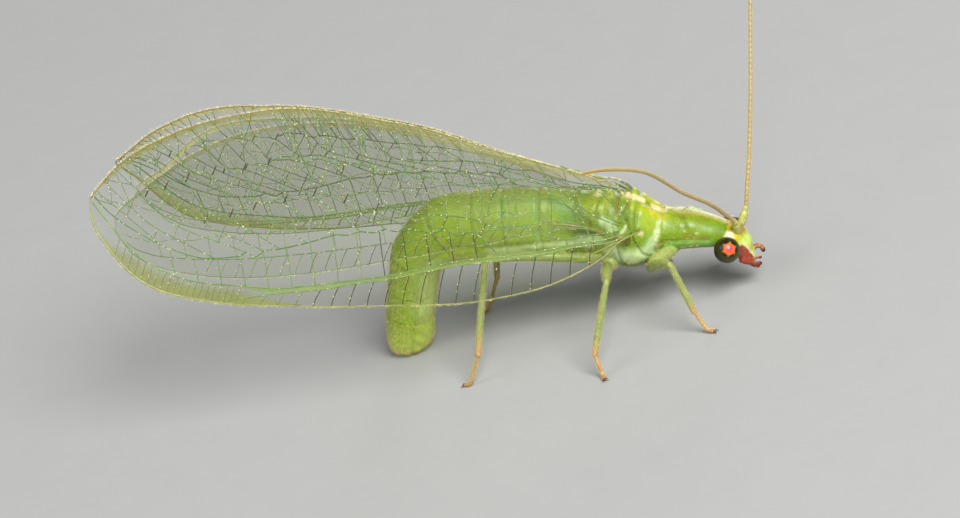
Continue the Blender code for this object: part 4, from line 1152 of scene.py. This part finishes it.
veinForm = {
    # radii of the veins, in mm
    "costa": 0.016, "long": 0.0145, "branch": 0.0105, "cross": 0.0110, "rim": 0.0085,
    "step": 0.06, "sides": 6, "costalDarkUpTo": 7.6,
    # how many hairs a mm of vein carries, their lengths and half their width, and the beads at their roots
    "hairsPerMm": 10.0, "fringePerMm": 46.0, "hindFringePerMm": 26.0,
    "hairLength": 0.065, "fringeLength": 0.10,
    "hairThick": 0.0046, "bead": 0.017, "beadShare": 0.45, "edgeBeadShare": 0.12,
}
film = {
    # how far each face of a sheet hides what is behind it, and its gloss
    "alpha": 0.085, "roughness": 0.38, "bandRoughness": 0.5, "stigmaAlpha": 0.42, "edgeAlpha": 0.23,
    "tint": rgb(98, 108, 60), "baseTint": rgb(140, 150, 60), "stigma": rgb(134, 138, 40),
    "edge": rgb(142, 138, 62), "between": rgb(136, 156, 74),
    "edgeWidths": (0.24, 0.12), "hindEdgeWidth": 0.10,
    # the sheet's mesh and a band's, half the sheet's thickness, and how far a band's faces stand off it
    "columns": 230, "rows": 64, "bandColumn": 0.06, "bandRows": 9, "half": 0.003, "bandLift": 0.004,
    "sag": 0.02, "sagReach": 0.16,      # the sheet sags this far, this far from a vein
    "leftPaintedLight": 2.8,       # painted light: the left wings' bands are tinted this many times lighter than the right ones', to lift the shade they lie in behind them
}


def wingAxes(mirror):
    # the ways along a wing, across it from the front edge to the hind one, and out of its plane
    pitch, roof = math.radians(wingRoof["pitch"]), math.radians(wingRoof["roof"])
    along = np.array((-math.cos(pitch), 0.0, math.sin(pitch)))
    top = np.array((math.sin(pitch), 0.0, math.cos(pitch)))
    outward = leftward * mirror
    across = top * math.sin(roof) - outward * math.cos(roof)
    return along, across, top * math.cos(roof) + outward * math.sin(roof)


def sheetOffset(wing, u, v):
    # how far the sheet stands out of its flat plane
    size, place, spread = wingRoof["bulge"]
    top, depth = wingRoof["bulgeTop"]
    offset = size * bell(u - place, spread) * smoothStep((top - v) / depth)
    places, tucks = np.array(wingRoof["tuck"]).T
    start = wingRoof["tuckFrom"]
    run = np.clip((v - start) / (edgeHeight(foreWing["back"], u) - start), 0.0, 1.0)
    offset = offset - np.interp(u, places, tucks) * run ** (1.0 + wingRoof["tuckPower"] * smoothStep(u / 5.0))
    share, start, depth = wingRoof["closer"]
    return offset - wing["inset"] * (1.0 - share * smoothStep((v - start) / depth))


def wingStart(wing):
    return wing["front"][0][0]


def wingEnd(wing):
    return wing["front"][-1][0]


def rootOffset(wing):
    # what brings a wing's root against the side of the thorax
    normal = wingAxes(1)[2]
    place, angle = wing["root"]
    root = trunkPoint(place, angle, wingRoof["rootGap"], fine=False)[0] - np.array(wingRoof["point"])
    return root @ normal - sheetOffset(wing, wingStart(wing), 0.0)


def wingPoint(wing, uv, mirror, out=0.0):
    # points of a wing from their distance from its root (u) and their height across it (v)
    along, across, normal = wingAxes(mirror)
    u, v = np.asarray(uv, float)[..., 0], np.asarray(uv, float)[..., 1]
    amount, place, length = wingRoof["backDrop"]
    drop = amount * bell(u - place, length)
    if mirror > 0:
        amount, place, length = wingRoof["leftBackDrop"]
        drop = drop + amount * (1.0 - smoothStep((u - place) / length))
    drop = drop * smoothStep((v - 0.2) / 1.2)
    if mirror > 0:
        amount, place, length = wingRoof["leftRootDrop"]
        drop = drop + amount * smoothStep((place - u) / length) * smoothStep((0.7 - v) / 1.0)
        amount, place, length = wingRoof["leftDrop"]
        v = v - amount * smoothStep((0.5 - v) / 1.5) * bell(u - place, length)
        amount, place, length = wingRoof["leftTipRise"]
        v = v + amount * smoothStep((u - place) / length) * smoothStep((1.6 - v) / 1.5)
        amount, place, length = wingRoof["leftShort"]
        u = u * (1.0 - amount * smoothStep((u - place) / length))
    offset = sheetOffset(wing, u, v)
    offset = offset + rootOffset(wing) * np.exp(-(u - wingStart(wing)) / wingRoof["rootLength"])
    point = mirrored(wingRoof["point"], mirror)
    return point + along * u[..., None] + across * (v - drop)[..., None] + normal * (offset + out)[..., None]


def edgeHeight(edge, u):
    # height of a wing's edge at a distance from the root
    xs, ys = np.array(edge).T
    slopes = np.gradient(ys, xs)
    i = np.clip(np.searchsorted(xs, u) - 1, 0, len(xs) - 2)
    span = xs[i + 1] - xs[i]
    t = np.clip((u - xs[i]) / span, 0.0, 1.0)
    return ((2 * t ** 3 - 3 * t ** 2 + 1) * ys[i] + (t ** 3 - 2 * t ** 2 + t) * span * slopes[i]
            + (3 * t ** 2 - 2 * t ** 3) * ys[i + 1] + (t ** 3 - t ** 2) * span * slopes[i + 1])


def alongEdge(edge, start, end):
    u = np.arange(start, end, 0.05)
    return np.column_stack([u, edgeHeight(edge, u)])


def crossing(start, way, lines):
    # how far from start, going way, the first of the lines lies
    best = math.inf
    for line in lines:
        a, d = line[:-1], np.diff(line, axis=0)
        slant = way[0] * d[:, 1] - way[1] * d[:, 0]
        slant = np.where(np.abs(slant) < 1e-9, 1e-9, slant)
        gap = a - start
        t = (gap[:, 0] * d[:, 1] - gap[:, 1] * d[:, 0]) / slant
        s = (gap[:, 0] * way[1] - gap[:, 1] * way[0]) / slant
        good = t[(s >= 0.0) & (s <= 1.0) & (t > 0.004)]
        if len(good):
            best = min(best, good.min())
    return best


def bridge(middle, way, lines, reach):
    # a cross vein through middle that ends on the nearest veins on both sides
    middle, way = np.array(middle, float), np.array(way, float)
    ahead, behind = crossing(middle, way, lines), crossing(middle, -way, lines)
    if max(ahead, behind) > reach:
        return None
    return np.array([middle - way * behind, middle, middle + way * ahead])


def lineAt(line, u):
    return np.column_stack([np.atleast_1d(u), np.interp(u, line[:, 0], line[:, 1])])[0]


def edgeVeins(wing):
    # the rod of the front edge and the thin one of the tip and hind edge
    start, end = wingStart(wing), wingEnd(wing)
    front = np.vstack([alongEdge(wing["front"], start, end), wing["front"][-1]])
    back = np.vstack([wing["front"][-1], wing["back"][-1], alongEdge(wing["back"], start + 0.02, end)[::-1]])
    return front, back


def foreVeins(wing):
    # every vein of a forewing: its line, radius and colour
    form = veinForm
    front, back = edgeVeins(wing)
    names = ("subcosta", "radius", "sector", "pseudomedia", "pseudocubitus")
    smooth = {key: curveThrough(wing[key], 6) for key in names}
    veins = [(front, form["costa"], "pale"), (back, form["rim"] * 1.15, "gold")]
    veins += [(smooth["subcosta"], form["long"], "light"), (smooth["radius"], form["long"] * 1.15, "light")]
    veins += [(smooth[key], form["long"], "green") for key in ("sector", "pseudomedia", "pseudocubitus")]
    branches = []
    for number in range(len(wing["branches"])):
        points = branchPoints(wing, number)
        edge = rimPoint(wing, points.pop()[0])
        fork = points[-1] + (edge - points[-1]) * 0.45
        branches.append(curveThrough(points + [fork], 5))
        for spread in (-0.26, 0.0, 0.26):
            tip = rimPoint(wing, edge[0] + spread)
            middle = fork * 0.45 + tip * 0.55 + (spread * 0.15, 0.0)
            veins.append((curveThrough([fork, middle, tip], 5), form["rim"], "green"))
    veins += [(line, form["branch"], "green") for line in branches]
    others = [curveThrough(points, 5) for points in wing["others"]]
    veins += [(line, form["branch"], "green") for line in others]
    way, half = np.array(wing["stepWay"]), wing["stepHalf"]
    for middle in wing["innerSteps"] + wing["outerSteps"]:
        veins.append((np.array([middle - way * half, middle + way * half]), form["cross"] * 1.45, "dark"))
    net = list(smooth.values()) + branches + others + [front, back]
    for kind in ("dark", "light"):
        for middle in wing[f"{kind}Steps"]:
            line = bridge(middle, way, net, 0.6)
            if line is not None:
                veins.append((line, form["cross"], kind))
    for u in wing["rim"]:
        start, tip = lineAt(smooth["pseudocubitus"], u), rimPoint(wing, u + 0.32)
        fork = start * 0.35 + tip * 0.65
        veins.append((curveThrough([start, fork + (-0.03, 0.0), tip], 5), form["branch"], "green"))
    veins += costalVeins(wing, smooth["subcosta"])
    for u in np.arange(*wing["tipSteps"]):
        foot = np.array((u + 0.16, edgeHeight(wing["front"], u + 0.16)))
        veins.append((np.array([lineAt(smooth["radius"], u), foot]), form["rim"] * 0.7, "green"))
    for u in np.arange(*wing["sectorSteps"]):
        line = np.array([lineAt(smooth["radius"], u), lineAt(smooth["sector"], u + 0.10)])
        veins.append((line, form["cross"], "dark" if u < wing["darkUpTo"] else "light"))
    return veins


def rimPoint(wing, u):
    u = min(u, wing["back"][-1][0] - 0.04)
    return np.array((u, edgeHeight(wing["back"], u)))


def branchPoints(wing, number):
    # a branch goes in stairs from the foot of one step to the head of the next, in both rows
    leave, own, edge = wing["branches"][number]
    reach = np.array(wing["stepWay"]) * wing["stepHalf"]
    inner, outer = wing["innerSteps"], wing["outerSteps"]
    points = [np.array(leave)]
    for row, first in ((inner, 0), (outer, 3)):
        if row is outer and own is not None:
            points.append(np.array(own))
        if 0 <= number - first < len(row):
            points.append(np.array(row[number - first]) - reach)
        if 0 <= number - first + 1 < len(row) and number >= first:
            points.append(np.array(row[number - first + 1]) + reach)
    return points + [np.array(edge)]


def costalVeins(wing, inner):
    # the ladder of dark cross veins behind the front edge
    veins = []
    first, last, gap = wing["costal"]
    for u in np.arange(first, last, gap):
        top = lineAt(inner, u)
        foot = np.array((u + 0.20 * min(u / 3.0, 1.0), 0.0))
        foot[1] = edgeHeight(wing["front"], foot[0])
        kind = "dark" if u < veinForm["costalDarkUpTo"] else "light"
        if top[1] - foot[1] > 0.05:
            line = curveThrough([top, (top + foot) / 2 + (0.02, 0.0), foot], 4)
            veins.append((line, veinForm["cross"], kind))
    return veins


def acrossWing(wing, u, share):
    # points at a share of the way from the front edge to the hind one
    low, high = edgeHeight(wing["front"], u), edgeHeight(wing["back"], u)
    return np.stack([u, low + (high - low) * share], -1)


def hindVeins(wing):
    # every vein of a hindwing: long rows, slanting branches, and the steps between them
    form = veinForm
    front, back = edgeVeins(wing)
    rows = []
    for share, start, end, wobble in wing["rows"]:
        u = np.arange(start, end, 0.12)
        rows.append(acrossWing(wing, u, share + wobble * np.sin(u * 7.0)))
    radius, sector, media, cubitus = rows
    sector = np.vstack([radius[7:8], sector])
    veins = [(front, form["costa"] * 0.6, "light"), (back, form["rim"] * 0.8, "pale")]
    veins.append((radius, form["long"] * 0.8, "light"))
    veins += [(line, form["branch"] * 0.7, "light") for line in (sector, media, cubitus)]
    net = [radius, sector, media, cubitus, front, back]
    first, second, third = wing["branchSlant"]
    for u in wing["branchPlaces"]:
        spots = [lineAt(sector, u), lineAt(media, u + first), lineAt(cubitus, u + first + second)]
        if u + first + second > 9.4:
            spots = [spots[0], lineAt(sector, u + 0.8) + (0.0, 0.45)]
        tip = rimPoint(wing, min(u + first + second + third, 12.1))
        line = curveThrough(spots + [tip], 6)
        net.append(line)
        veins.append((line, form["rim"] * 0.8, "light"))
        tip = rimPoint(wing, tip[0] - 0.22)
        fork = np.array([line[-4], (line[-4] + tip) / 2 + (-0.03, 0.0), tip])
        veins.append((fork, form["rim"] * 0.7, "light"))
    for u in np.arange(*wing["rimSteps"]):
        veins.append((np.array([lineAt(cubitus, u), rimPoint(wing, u + 0.25)]), form["rim"] * 0.7, "light"))
    for share, first, last in wing["steps"]:
        for u in np.arange(first, last, wing["stepGap"]):
            line = bridge(acrossWing(wing, u, share), wing["stepWay"], net, 0.5)
            if line is not None:
                veins.append((line, form["cross"] * 0.6, "light"))
    for u in np.arange(*wing["sectorSteps"]):
        veins.append((np.array([lineAt(radius, u), lineAt(sector, u + 0.08)]), form["cross"] * 0.6, "light"))
    return veins + [(line, radius * 0.6, kind) for line, radius, kind in costalVeins(wing, radius)]


def veinRods(wing, veins, mirror):
    # one rod a vein, sorted by colour, and the lines on which their hairs stand
    normal = wingAxes(mirror)[2]
    rods, lines = {}, []
    for number, (line, radius, kind) in enumerate(veins):
        even = evenly(np.asarray(line, float), veinForm["step"])
        solid = wingPoint(wing, even, mirror)
        normals = np.broadcast_to(normal, solid.shape)
        distance = np.clip((even[:, 0] - wingStart(wing)) / 3.0, 0.0, 1.0)
        thick = radius * (1.15 - 0.15 * distance)
        if number < 2 and wing is foreWing:
            thick = thick * (1.0 + 0.6 * smoothStep((even[:, 0] - 9.5) / 2.0))
        rods.setdefault(kind, []).append(tube(solid, thick, veinForm["sides"], normals))
        lines.append((even, solid))
    return rods, lines


def veinHairs(wing, lines, mirror):
    # slanting hairs on both faces of every vein, a fringe round the edge, and beads at some of the roots; the
    # beads stand for the hairs' sockets, and their near-white colour is painted glint
    along, across, normal = wingAxes(mirror)
    roots, ways, leans, lengths, flats, shares = [], [], [], [], [], []
    for number, (even, solid) in enumerate(lines):
        edge = number < 2
        perMm = veinForm["hairsPerMm"]
        if edge:
            perMm = veinForm["fringePerMm"] if wing is foreWing and number else veinForm["hindFringePerMm"]
        count = max(2, int(np.linalg.norm(np.diff(even, axis=0), axis=1).sum() * perMm))
        spot = draw.uniform(0.02, 0.98, count) * (len(even) - 1)
        face = draw.choice((-1.0, 1.0), count)[:, None]
        if edge:
            outward = -1.0 if number == 0 else 1.0
            way = across * outward * 0.7 + along * 0.6 + normal * face * 0.3 + draw.normal(0, 0.1, (count, 3))
            length = draw.uniform(0.6, 1.1, count) * veinForm["fringeLength"]
        else:
            way = normal * face * 0.75 + along * 0.6 + draw.normal(0, 0.12, (count, 3))
            length = draw.uniform(0.6, 1.2, count) * veinForm["hairLength"]
        roots.append(betweenPoints(solid, spot))
        ways.append(unit(way))
        leans.append(np.broadcast_to(along, (count, 3)))
        lengths.append(length)
        flats.append(wingMap(betweenPoints(even, spot)))
        shares.append(np.full(count, veinForm["edgeBeadShare" if edge else "beadShare"]))
    roots, ways, leans, flats = (np.vstack(part) for part in (roots, ways, leans, flats))
    shown = draw.uniform(0.0, 1.0, len(roots)) < np.concatenate(shares)
    return stack([hairs(roots, ways, leans, np.concatenate(lengths), veinForm["hairThick"], flats),
                  beads(roots[shown] + ways[shown] * 0.02, veinForm["bead"], flats[shown])])


def wingMap(uv):
    return np.column_stack([0.02 + uv[:, 0] / 13.5, (uv[:, 1] + 2.2) / 5.2])


def filmShape(wing, veins, mirror, ends, low, high, columns, rows, lift=0.0):
    # a thin closed sheet between two edges, sagging a little between the veins, and the (u, v) of its points
    t = np.linspace(0.0, 1.0, columns)
    u = ends[0] + (ends[1] - ends[0]) * (0.6 * np.sin(t * np.pi / 2) + 0.4 * t)
    v = low(u)[:, None] + (high(u) - low(u))[:, None] * np.linspace(0.0, 1.0, rows)
    uv = np.stack([np.repeat(u[:, None], rows, axis=1), v], -1)
    spots = np.vstack(veins)
    tree = treeOf(np.column_stack([spots, np.zeros(len(spots))]))
    gap = np.array([tree.find((*point, 0.0))[2] for point in uv.reshape(-1, 2).tolist()])
    sag = -film["sag"] * smoothStep(gap.reshape(uv.shape[:2]) / film["sagReach"])
    outer = wingPoint(wing, uv, mirror, sag + lift + film["half"])
    inner = wingPoint(wing, uv, mirror, sag - lift - film["half"])
    count = columns * rows
    index = np.arange(count).reshape(columns, rows)
    loop = np.concatenate([index[:, 0], index[-1, 1:-1], index[::-1, -1], index[0, -2:0:-1]])
    following = np.roll(loop, -1)
    side = np.vstack([np.stack([loop, following, following + count], -1),
                      np.stack([loop, following + count, loop + count], -1)])
    faces = ringFaces(columns, rows, closed=False)
    faces = np.vstack([faces, faces[:, ::-1] + count, side[:, ::-1]])
    points = np.vstack([outer.reshape(-1, 3), inner.reshape(-1, 3)])
    return points, faces[:, ::-1] if mirror > 0 else faces, np.vstack([uv.reshape(-1, 2)] * 2)


def filmMaterial(name, alpha, roughness, fades=False):
    look = {
        "sockets": {"Roughness": roughness, "Specular IOR Level": 0.3, "Alpha": alpha},
        "mottle": (2500.0, 0.85, 1.12), "relief": ("noise", 5000.0, 0.3, 0.01 * mm),
    }
    return makeMaterial(name, look, fades=fades)


clearFilm = filmMaterial("wing_film", film["alpha"], film["roughness"])
betweenFilm = filmMaterial("wing_between", film["stigmaAlpha"], film["bandRoughness"])
hindEdgeFilm = filmMaterial("wing_hind_edge", film["edgeAlpha"], film["bandRoughness"])
stigmaFilm = filmMaterial("wing_stigma", film["stigmaAlpha"], film["bandRoughness"], fades=True)
edgeFilm = filmMaterial("wing_edge", film["edgeAlpha"], film["bandRoughness"], fades=True)


def makeBand(name, wing, veins, mirror, ends, edges, tint, material, fade=None):
    # a narrow tinted sheet over the clear one; fade tells how much of it shows, by u and the share across
    columns, rows = int((ends[1] - ends[0]) / film["bandColumn"]), film["bandRows"]
    points, faces, uv = filmShape(wing, veins, mirror, ends, *edges, columns, rows, lift=film["bandLift"])
    # painted light: the bands of the left wings get a lighter tint than the same bands on the right
    tint = tint * (film["leftPaintedLight"] if mirror > 0 else 1.0)
    shown = np.ones(len(points))
    if fade is not None:
        shown = fade(uv[:, 0], np.tile(np.linspace(0.0, 1.0, rows), 2 * columns))
    tints = np.column_stack([np.broadcast_to(tint, (len(points), 3)), shown])
    band = makePiece(name, (points, faces), material, tints)


def makeForeBands(name, wing, veins, mirror):
    # the yellow-green field before the strong vein, and the golden seam along the hind edge
    front = partial(edgeHeight, wing["front"])
    strong, inner = curveThrough(wing["radius"], 6), curveThrough(wing["subcosta"], 6)
    first, full, last = wing["stigma"]

    def onStrong(u):
        return np.interp(u, strong[:, 0], strong[:, 1])

    def stigmaEdge(u):
        wide = smoothStep((u - first) / (full - first)) * (1.0 - 0.9 * smoothStep((u - 11.7) / 1.1))
        return front(u) + (onStrong(u) - front(u)) * (0.03 + 0.97 * wide)

    def stigmaFade(u, share):
        return (0.15 + 0.85 * smoothStep((1.0 - share) / 0.6)) * (0.5 + 0.5 * smoothStep((last - u) / 1.6))

    def betweenEdge(u):
        closing = 0.95 * smoothStep((u - 8.2) / 1.3)
        return np.interp(u, inner[:, 0], inner[:, 1]) * (1.0 - closing) + onStrong(u) * closing

    def seamFade(u, share):
        return 0.1 + 0.9 * smoothStep(share / 0.6)

    makeBand(f"{name}_stigma", wing, veins, mirror, (first, last), (front, stigmaEdge),
             film["stigma"], stigmaFilm, stigmaFade)
    makeBand(f"{name}_between", wing, veins, mirror, wing["between"], (betweenEdge, onStrong),
             film["between"], betweenFilm)
    for number, width in enumerate(film["edgeWidths"]):
        ends, edges = seam(wing, width, 2.0)
        makeBand(f"{name}_seam_{number}", wing, veins, mirror, ends, edges, film["edge"], edgeFilm, seamFade)


def seam(wing, width, rise):
    # the ends and the two edges of a band along the hind edge, which reaches its width after the length rise
    start, end = wingStart(wing), wingEnd(wing)
    back = partial(edgeHeight, wing["back"])

    def inside(u):
        taper = np.minimum(smoothStep((u - start) / rise), smoothStep((end - u) / 0.8))
        return back(u) - width * taper - 0.005

    return (start + 0.1, end - 0.02), (inside, back)


def makeStem(wing, name, mirror):
    # the stalk by which the wing's strong veins grow out of the thorax
    place, angle = wing["stemRoot"]
    begin = trunkPoint(place, angle if mirror < 0 else 180.0 - angle, -0.03)[0]
    start = wingStart(wing)
    foot, joint, end = (
        wingPoint(wing, (start + u, edgeHeight(wing["front"], start + edge) + rise), mirror)
        for u, edge, rise in ((0.16, 0.16, 0.06), (0.45, 0.45, 0.06), (0.9, 0.7, 0.10)))
    line = evenly(curveThrough([begin, begin * 0.4 + foot * 0.6, joint, end], 8), 0.02)
    share = np.linspace(0.0, 1.0, len(line))
    stem = tube(line, (0.065 - 0.048 * share) * (1.0 + 0.3 * bell(share - 0.35, 0.06)), 14)
    piece = makePiece(f"{name}_stem", stem, veinMaterials["stem"])


def makeWing(wing, side, mirror):
    name = f"{wing['name']}_{side}"
    veins = foreVeins(wing) if wing is foreWing else hindVeins(wing)
    rods, lines = veinRods(wing, veins, mirror)
    uvLines = [even for even, _ in lines]
    ends = wingStart(wing), wingEnd(wing)
    edges = [partial(edgeHeight, wing[edge]) for edge in ("front", "back")]
    points, faces, uv = filmShape(wing, uvLines, mirror, ends, *edges, film["columns"], film["rows"])
    tint = blend(film["tint"], film["baseTint"], 0.6 * smoothStep((1.2 - uv[:, :1] + ends[0]) / 1.2))
    sheet = makePiece(f"{name}_film", (points, faces), clearFilm, tint)
    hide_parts(name)
    if wing is foreWing:
        makeForeBands(name, wing, uvLines, mirror)
    else:
        ends, edges = seam(wing, film["hindEdgeWidth"], 1.5)
        makeBand(f"{name}_edge", wing, uvLines, mirror, ends, edges, film["edge"], hindEdgeFilm)
    for kind, shapes in rods.items():
        piece = makePiece(f"{name}_veins_{kind}", stack(shapes), veinMaterials[kind])
    hair = makePiece(f"{name}_hairs", veinHairs(wing, lines, mirror), wingHairMaterial)
    makeStem(wing, name, mirror)


for side, mirror in (("right", -1), ("left", 1)):
    makeWing(hindWing, side, mirror)
    makeWing(foreWing, side, mirror)
print("wings made")


camera = {
    # turn about the animal, height and roll in degrees, distance in mm, and how it frames the ground point
    "turn": 17.0, "lift": 26.0, "roll": -20.9, "distance": 170.0, "pixelsPerMm": 42.0,
    "groundPixel": (477.0, 349.5), "imageSize": (960.0, 518.0), "sensor": 36.0,
}
light = {
    # share of right, up and back (towards the camera), distance, size and power of each lamp
    "key": ((0.15, 0.42, 0.9), 300.0, 150.0, 1.55), "fill": ((-0.8, 0.35, 0.6), 300.0, 200.0, 0.30),
    "rim": ((0.2, 0.6, -0.8), 300.0, 130.0, 0.35), "world": (0.95, 0.97, 1.0), "worldStrength": 0.20,
}


def cameraAxes():
    # the ways to the right of the picture, to its top and towards the camera
    turn, lift, roll = (math.radians(camera[key]) for key in ("turn", "lift", "roll"))
    level = np.array((math.cos(turn), math.sin(turn), 0.0))
    back = np.array((math.sin(turn) * math.cos(lift), -math.cos(turn) * math.cos(lift), math.sin(lift)))
    top = np.cross(back, level)
    right = math.cos(roll) * level + math.sin(roll) * top
    return right, math.cos(roll) * top - math.sin(roll) * level, back


def makeCamera():
    right, top, back = cameraAxes()
    width, height = camera["imageSize"]
    across = (width / 2 - camera["groundPixel"][0]) / camera["pixelsPerMm"]
    down = (height / 2 - camera["groundPixel"][1]) / camera["pixelsPerMm"]
    aim = right * across - top * down
    data = bpy.data.cameras.new("camera")
    data.sensor_width = camera["sensor"]
    data.lens = camera["pixelsPerMm"] * camera["distance"] / width * camera["sensor"]
    data.clip_start = 0.001
    data.clip_end = 10.0
    item = linked("camera", data)
    item.matrix_world = Matrix(np.column_stack([right, top, back]).tolist()).to_4x4()
    item.location = Vector(toRow(aim + back * camera["distance"]))
    bpy.context.scene.camera = item
    return aim


def makeLights(aim):
    right, top, back = cameraAxes()
    for name in ("key", "fill", "rim"):
        way, distance, size, power = light[name]
        spot = unit(right * way[0] + top * way[1] + back * way[2])
        spot[2] = abs(spot[2])
        data = bpy.data.lights.new(name, "AREA")
        data.shape = "DISK"
        data.size = size * mm
        data.energy = power
        item = linked(name, data)
        item.location = Vector(toRow(aim + spot * distance))
        item.rotation_mode = "QUATERNION"
        item.rotation_quaternion = Vector(spot).to_track_quat("Z", "Y")
    world = bpy.data.worlds.new("studio")
    world.use_nodes = True
    background = world.node_tree.nodes["Background"]
    background.inputs["Color"].default_value = (*light["world"], 1.0)
    background.inputs["Strength"].default_value = light["worldStrength"]
    bpy.context.scene.world = world


floor = {
    "reach": 0.6, "colour": (0.34, 0.34, 0.33),       # half its width in metres
    "look": {"sockets": {"Roughness": 0.7}, "mottle": (900.0, 0.985, 1.01)},
}


def makeFloor():
    # a plain pale table
    mesh = bpy.data.meshes.new("floor")
    low, reach = cadBox[0][2], floor["reach"]
    corners = [(-reach, -reach, low), (reach, -reach, low), (reach, reach, low), (-reach, reach, low)]
    mesh.from_pydata(corners, [], [(0, 1, 2, 3)])
    mesh.materials.append(makeMaterial("floor", floor["look"], floor["colour"]))
    item = linked("floor", mesh)


makeLights(makeCamera())
makeFloor()
bpy.context.scene.view_settings.view_transform = "Standard"
bpy.context.scene.cycles.transparent_max_bounces = 40       # the wings lie eight films deep
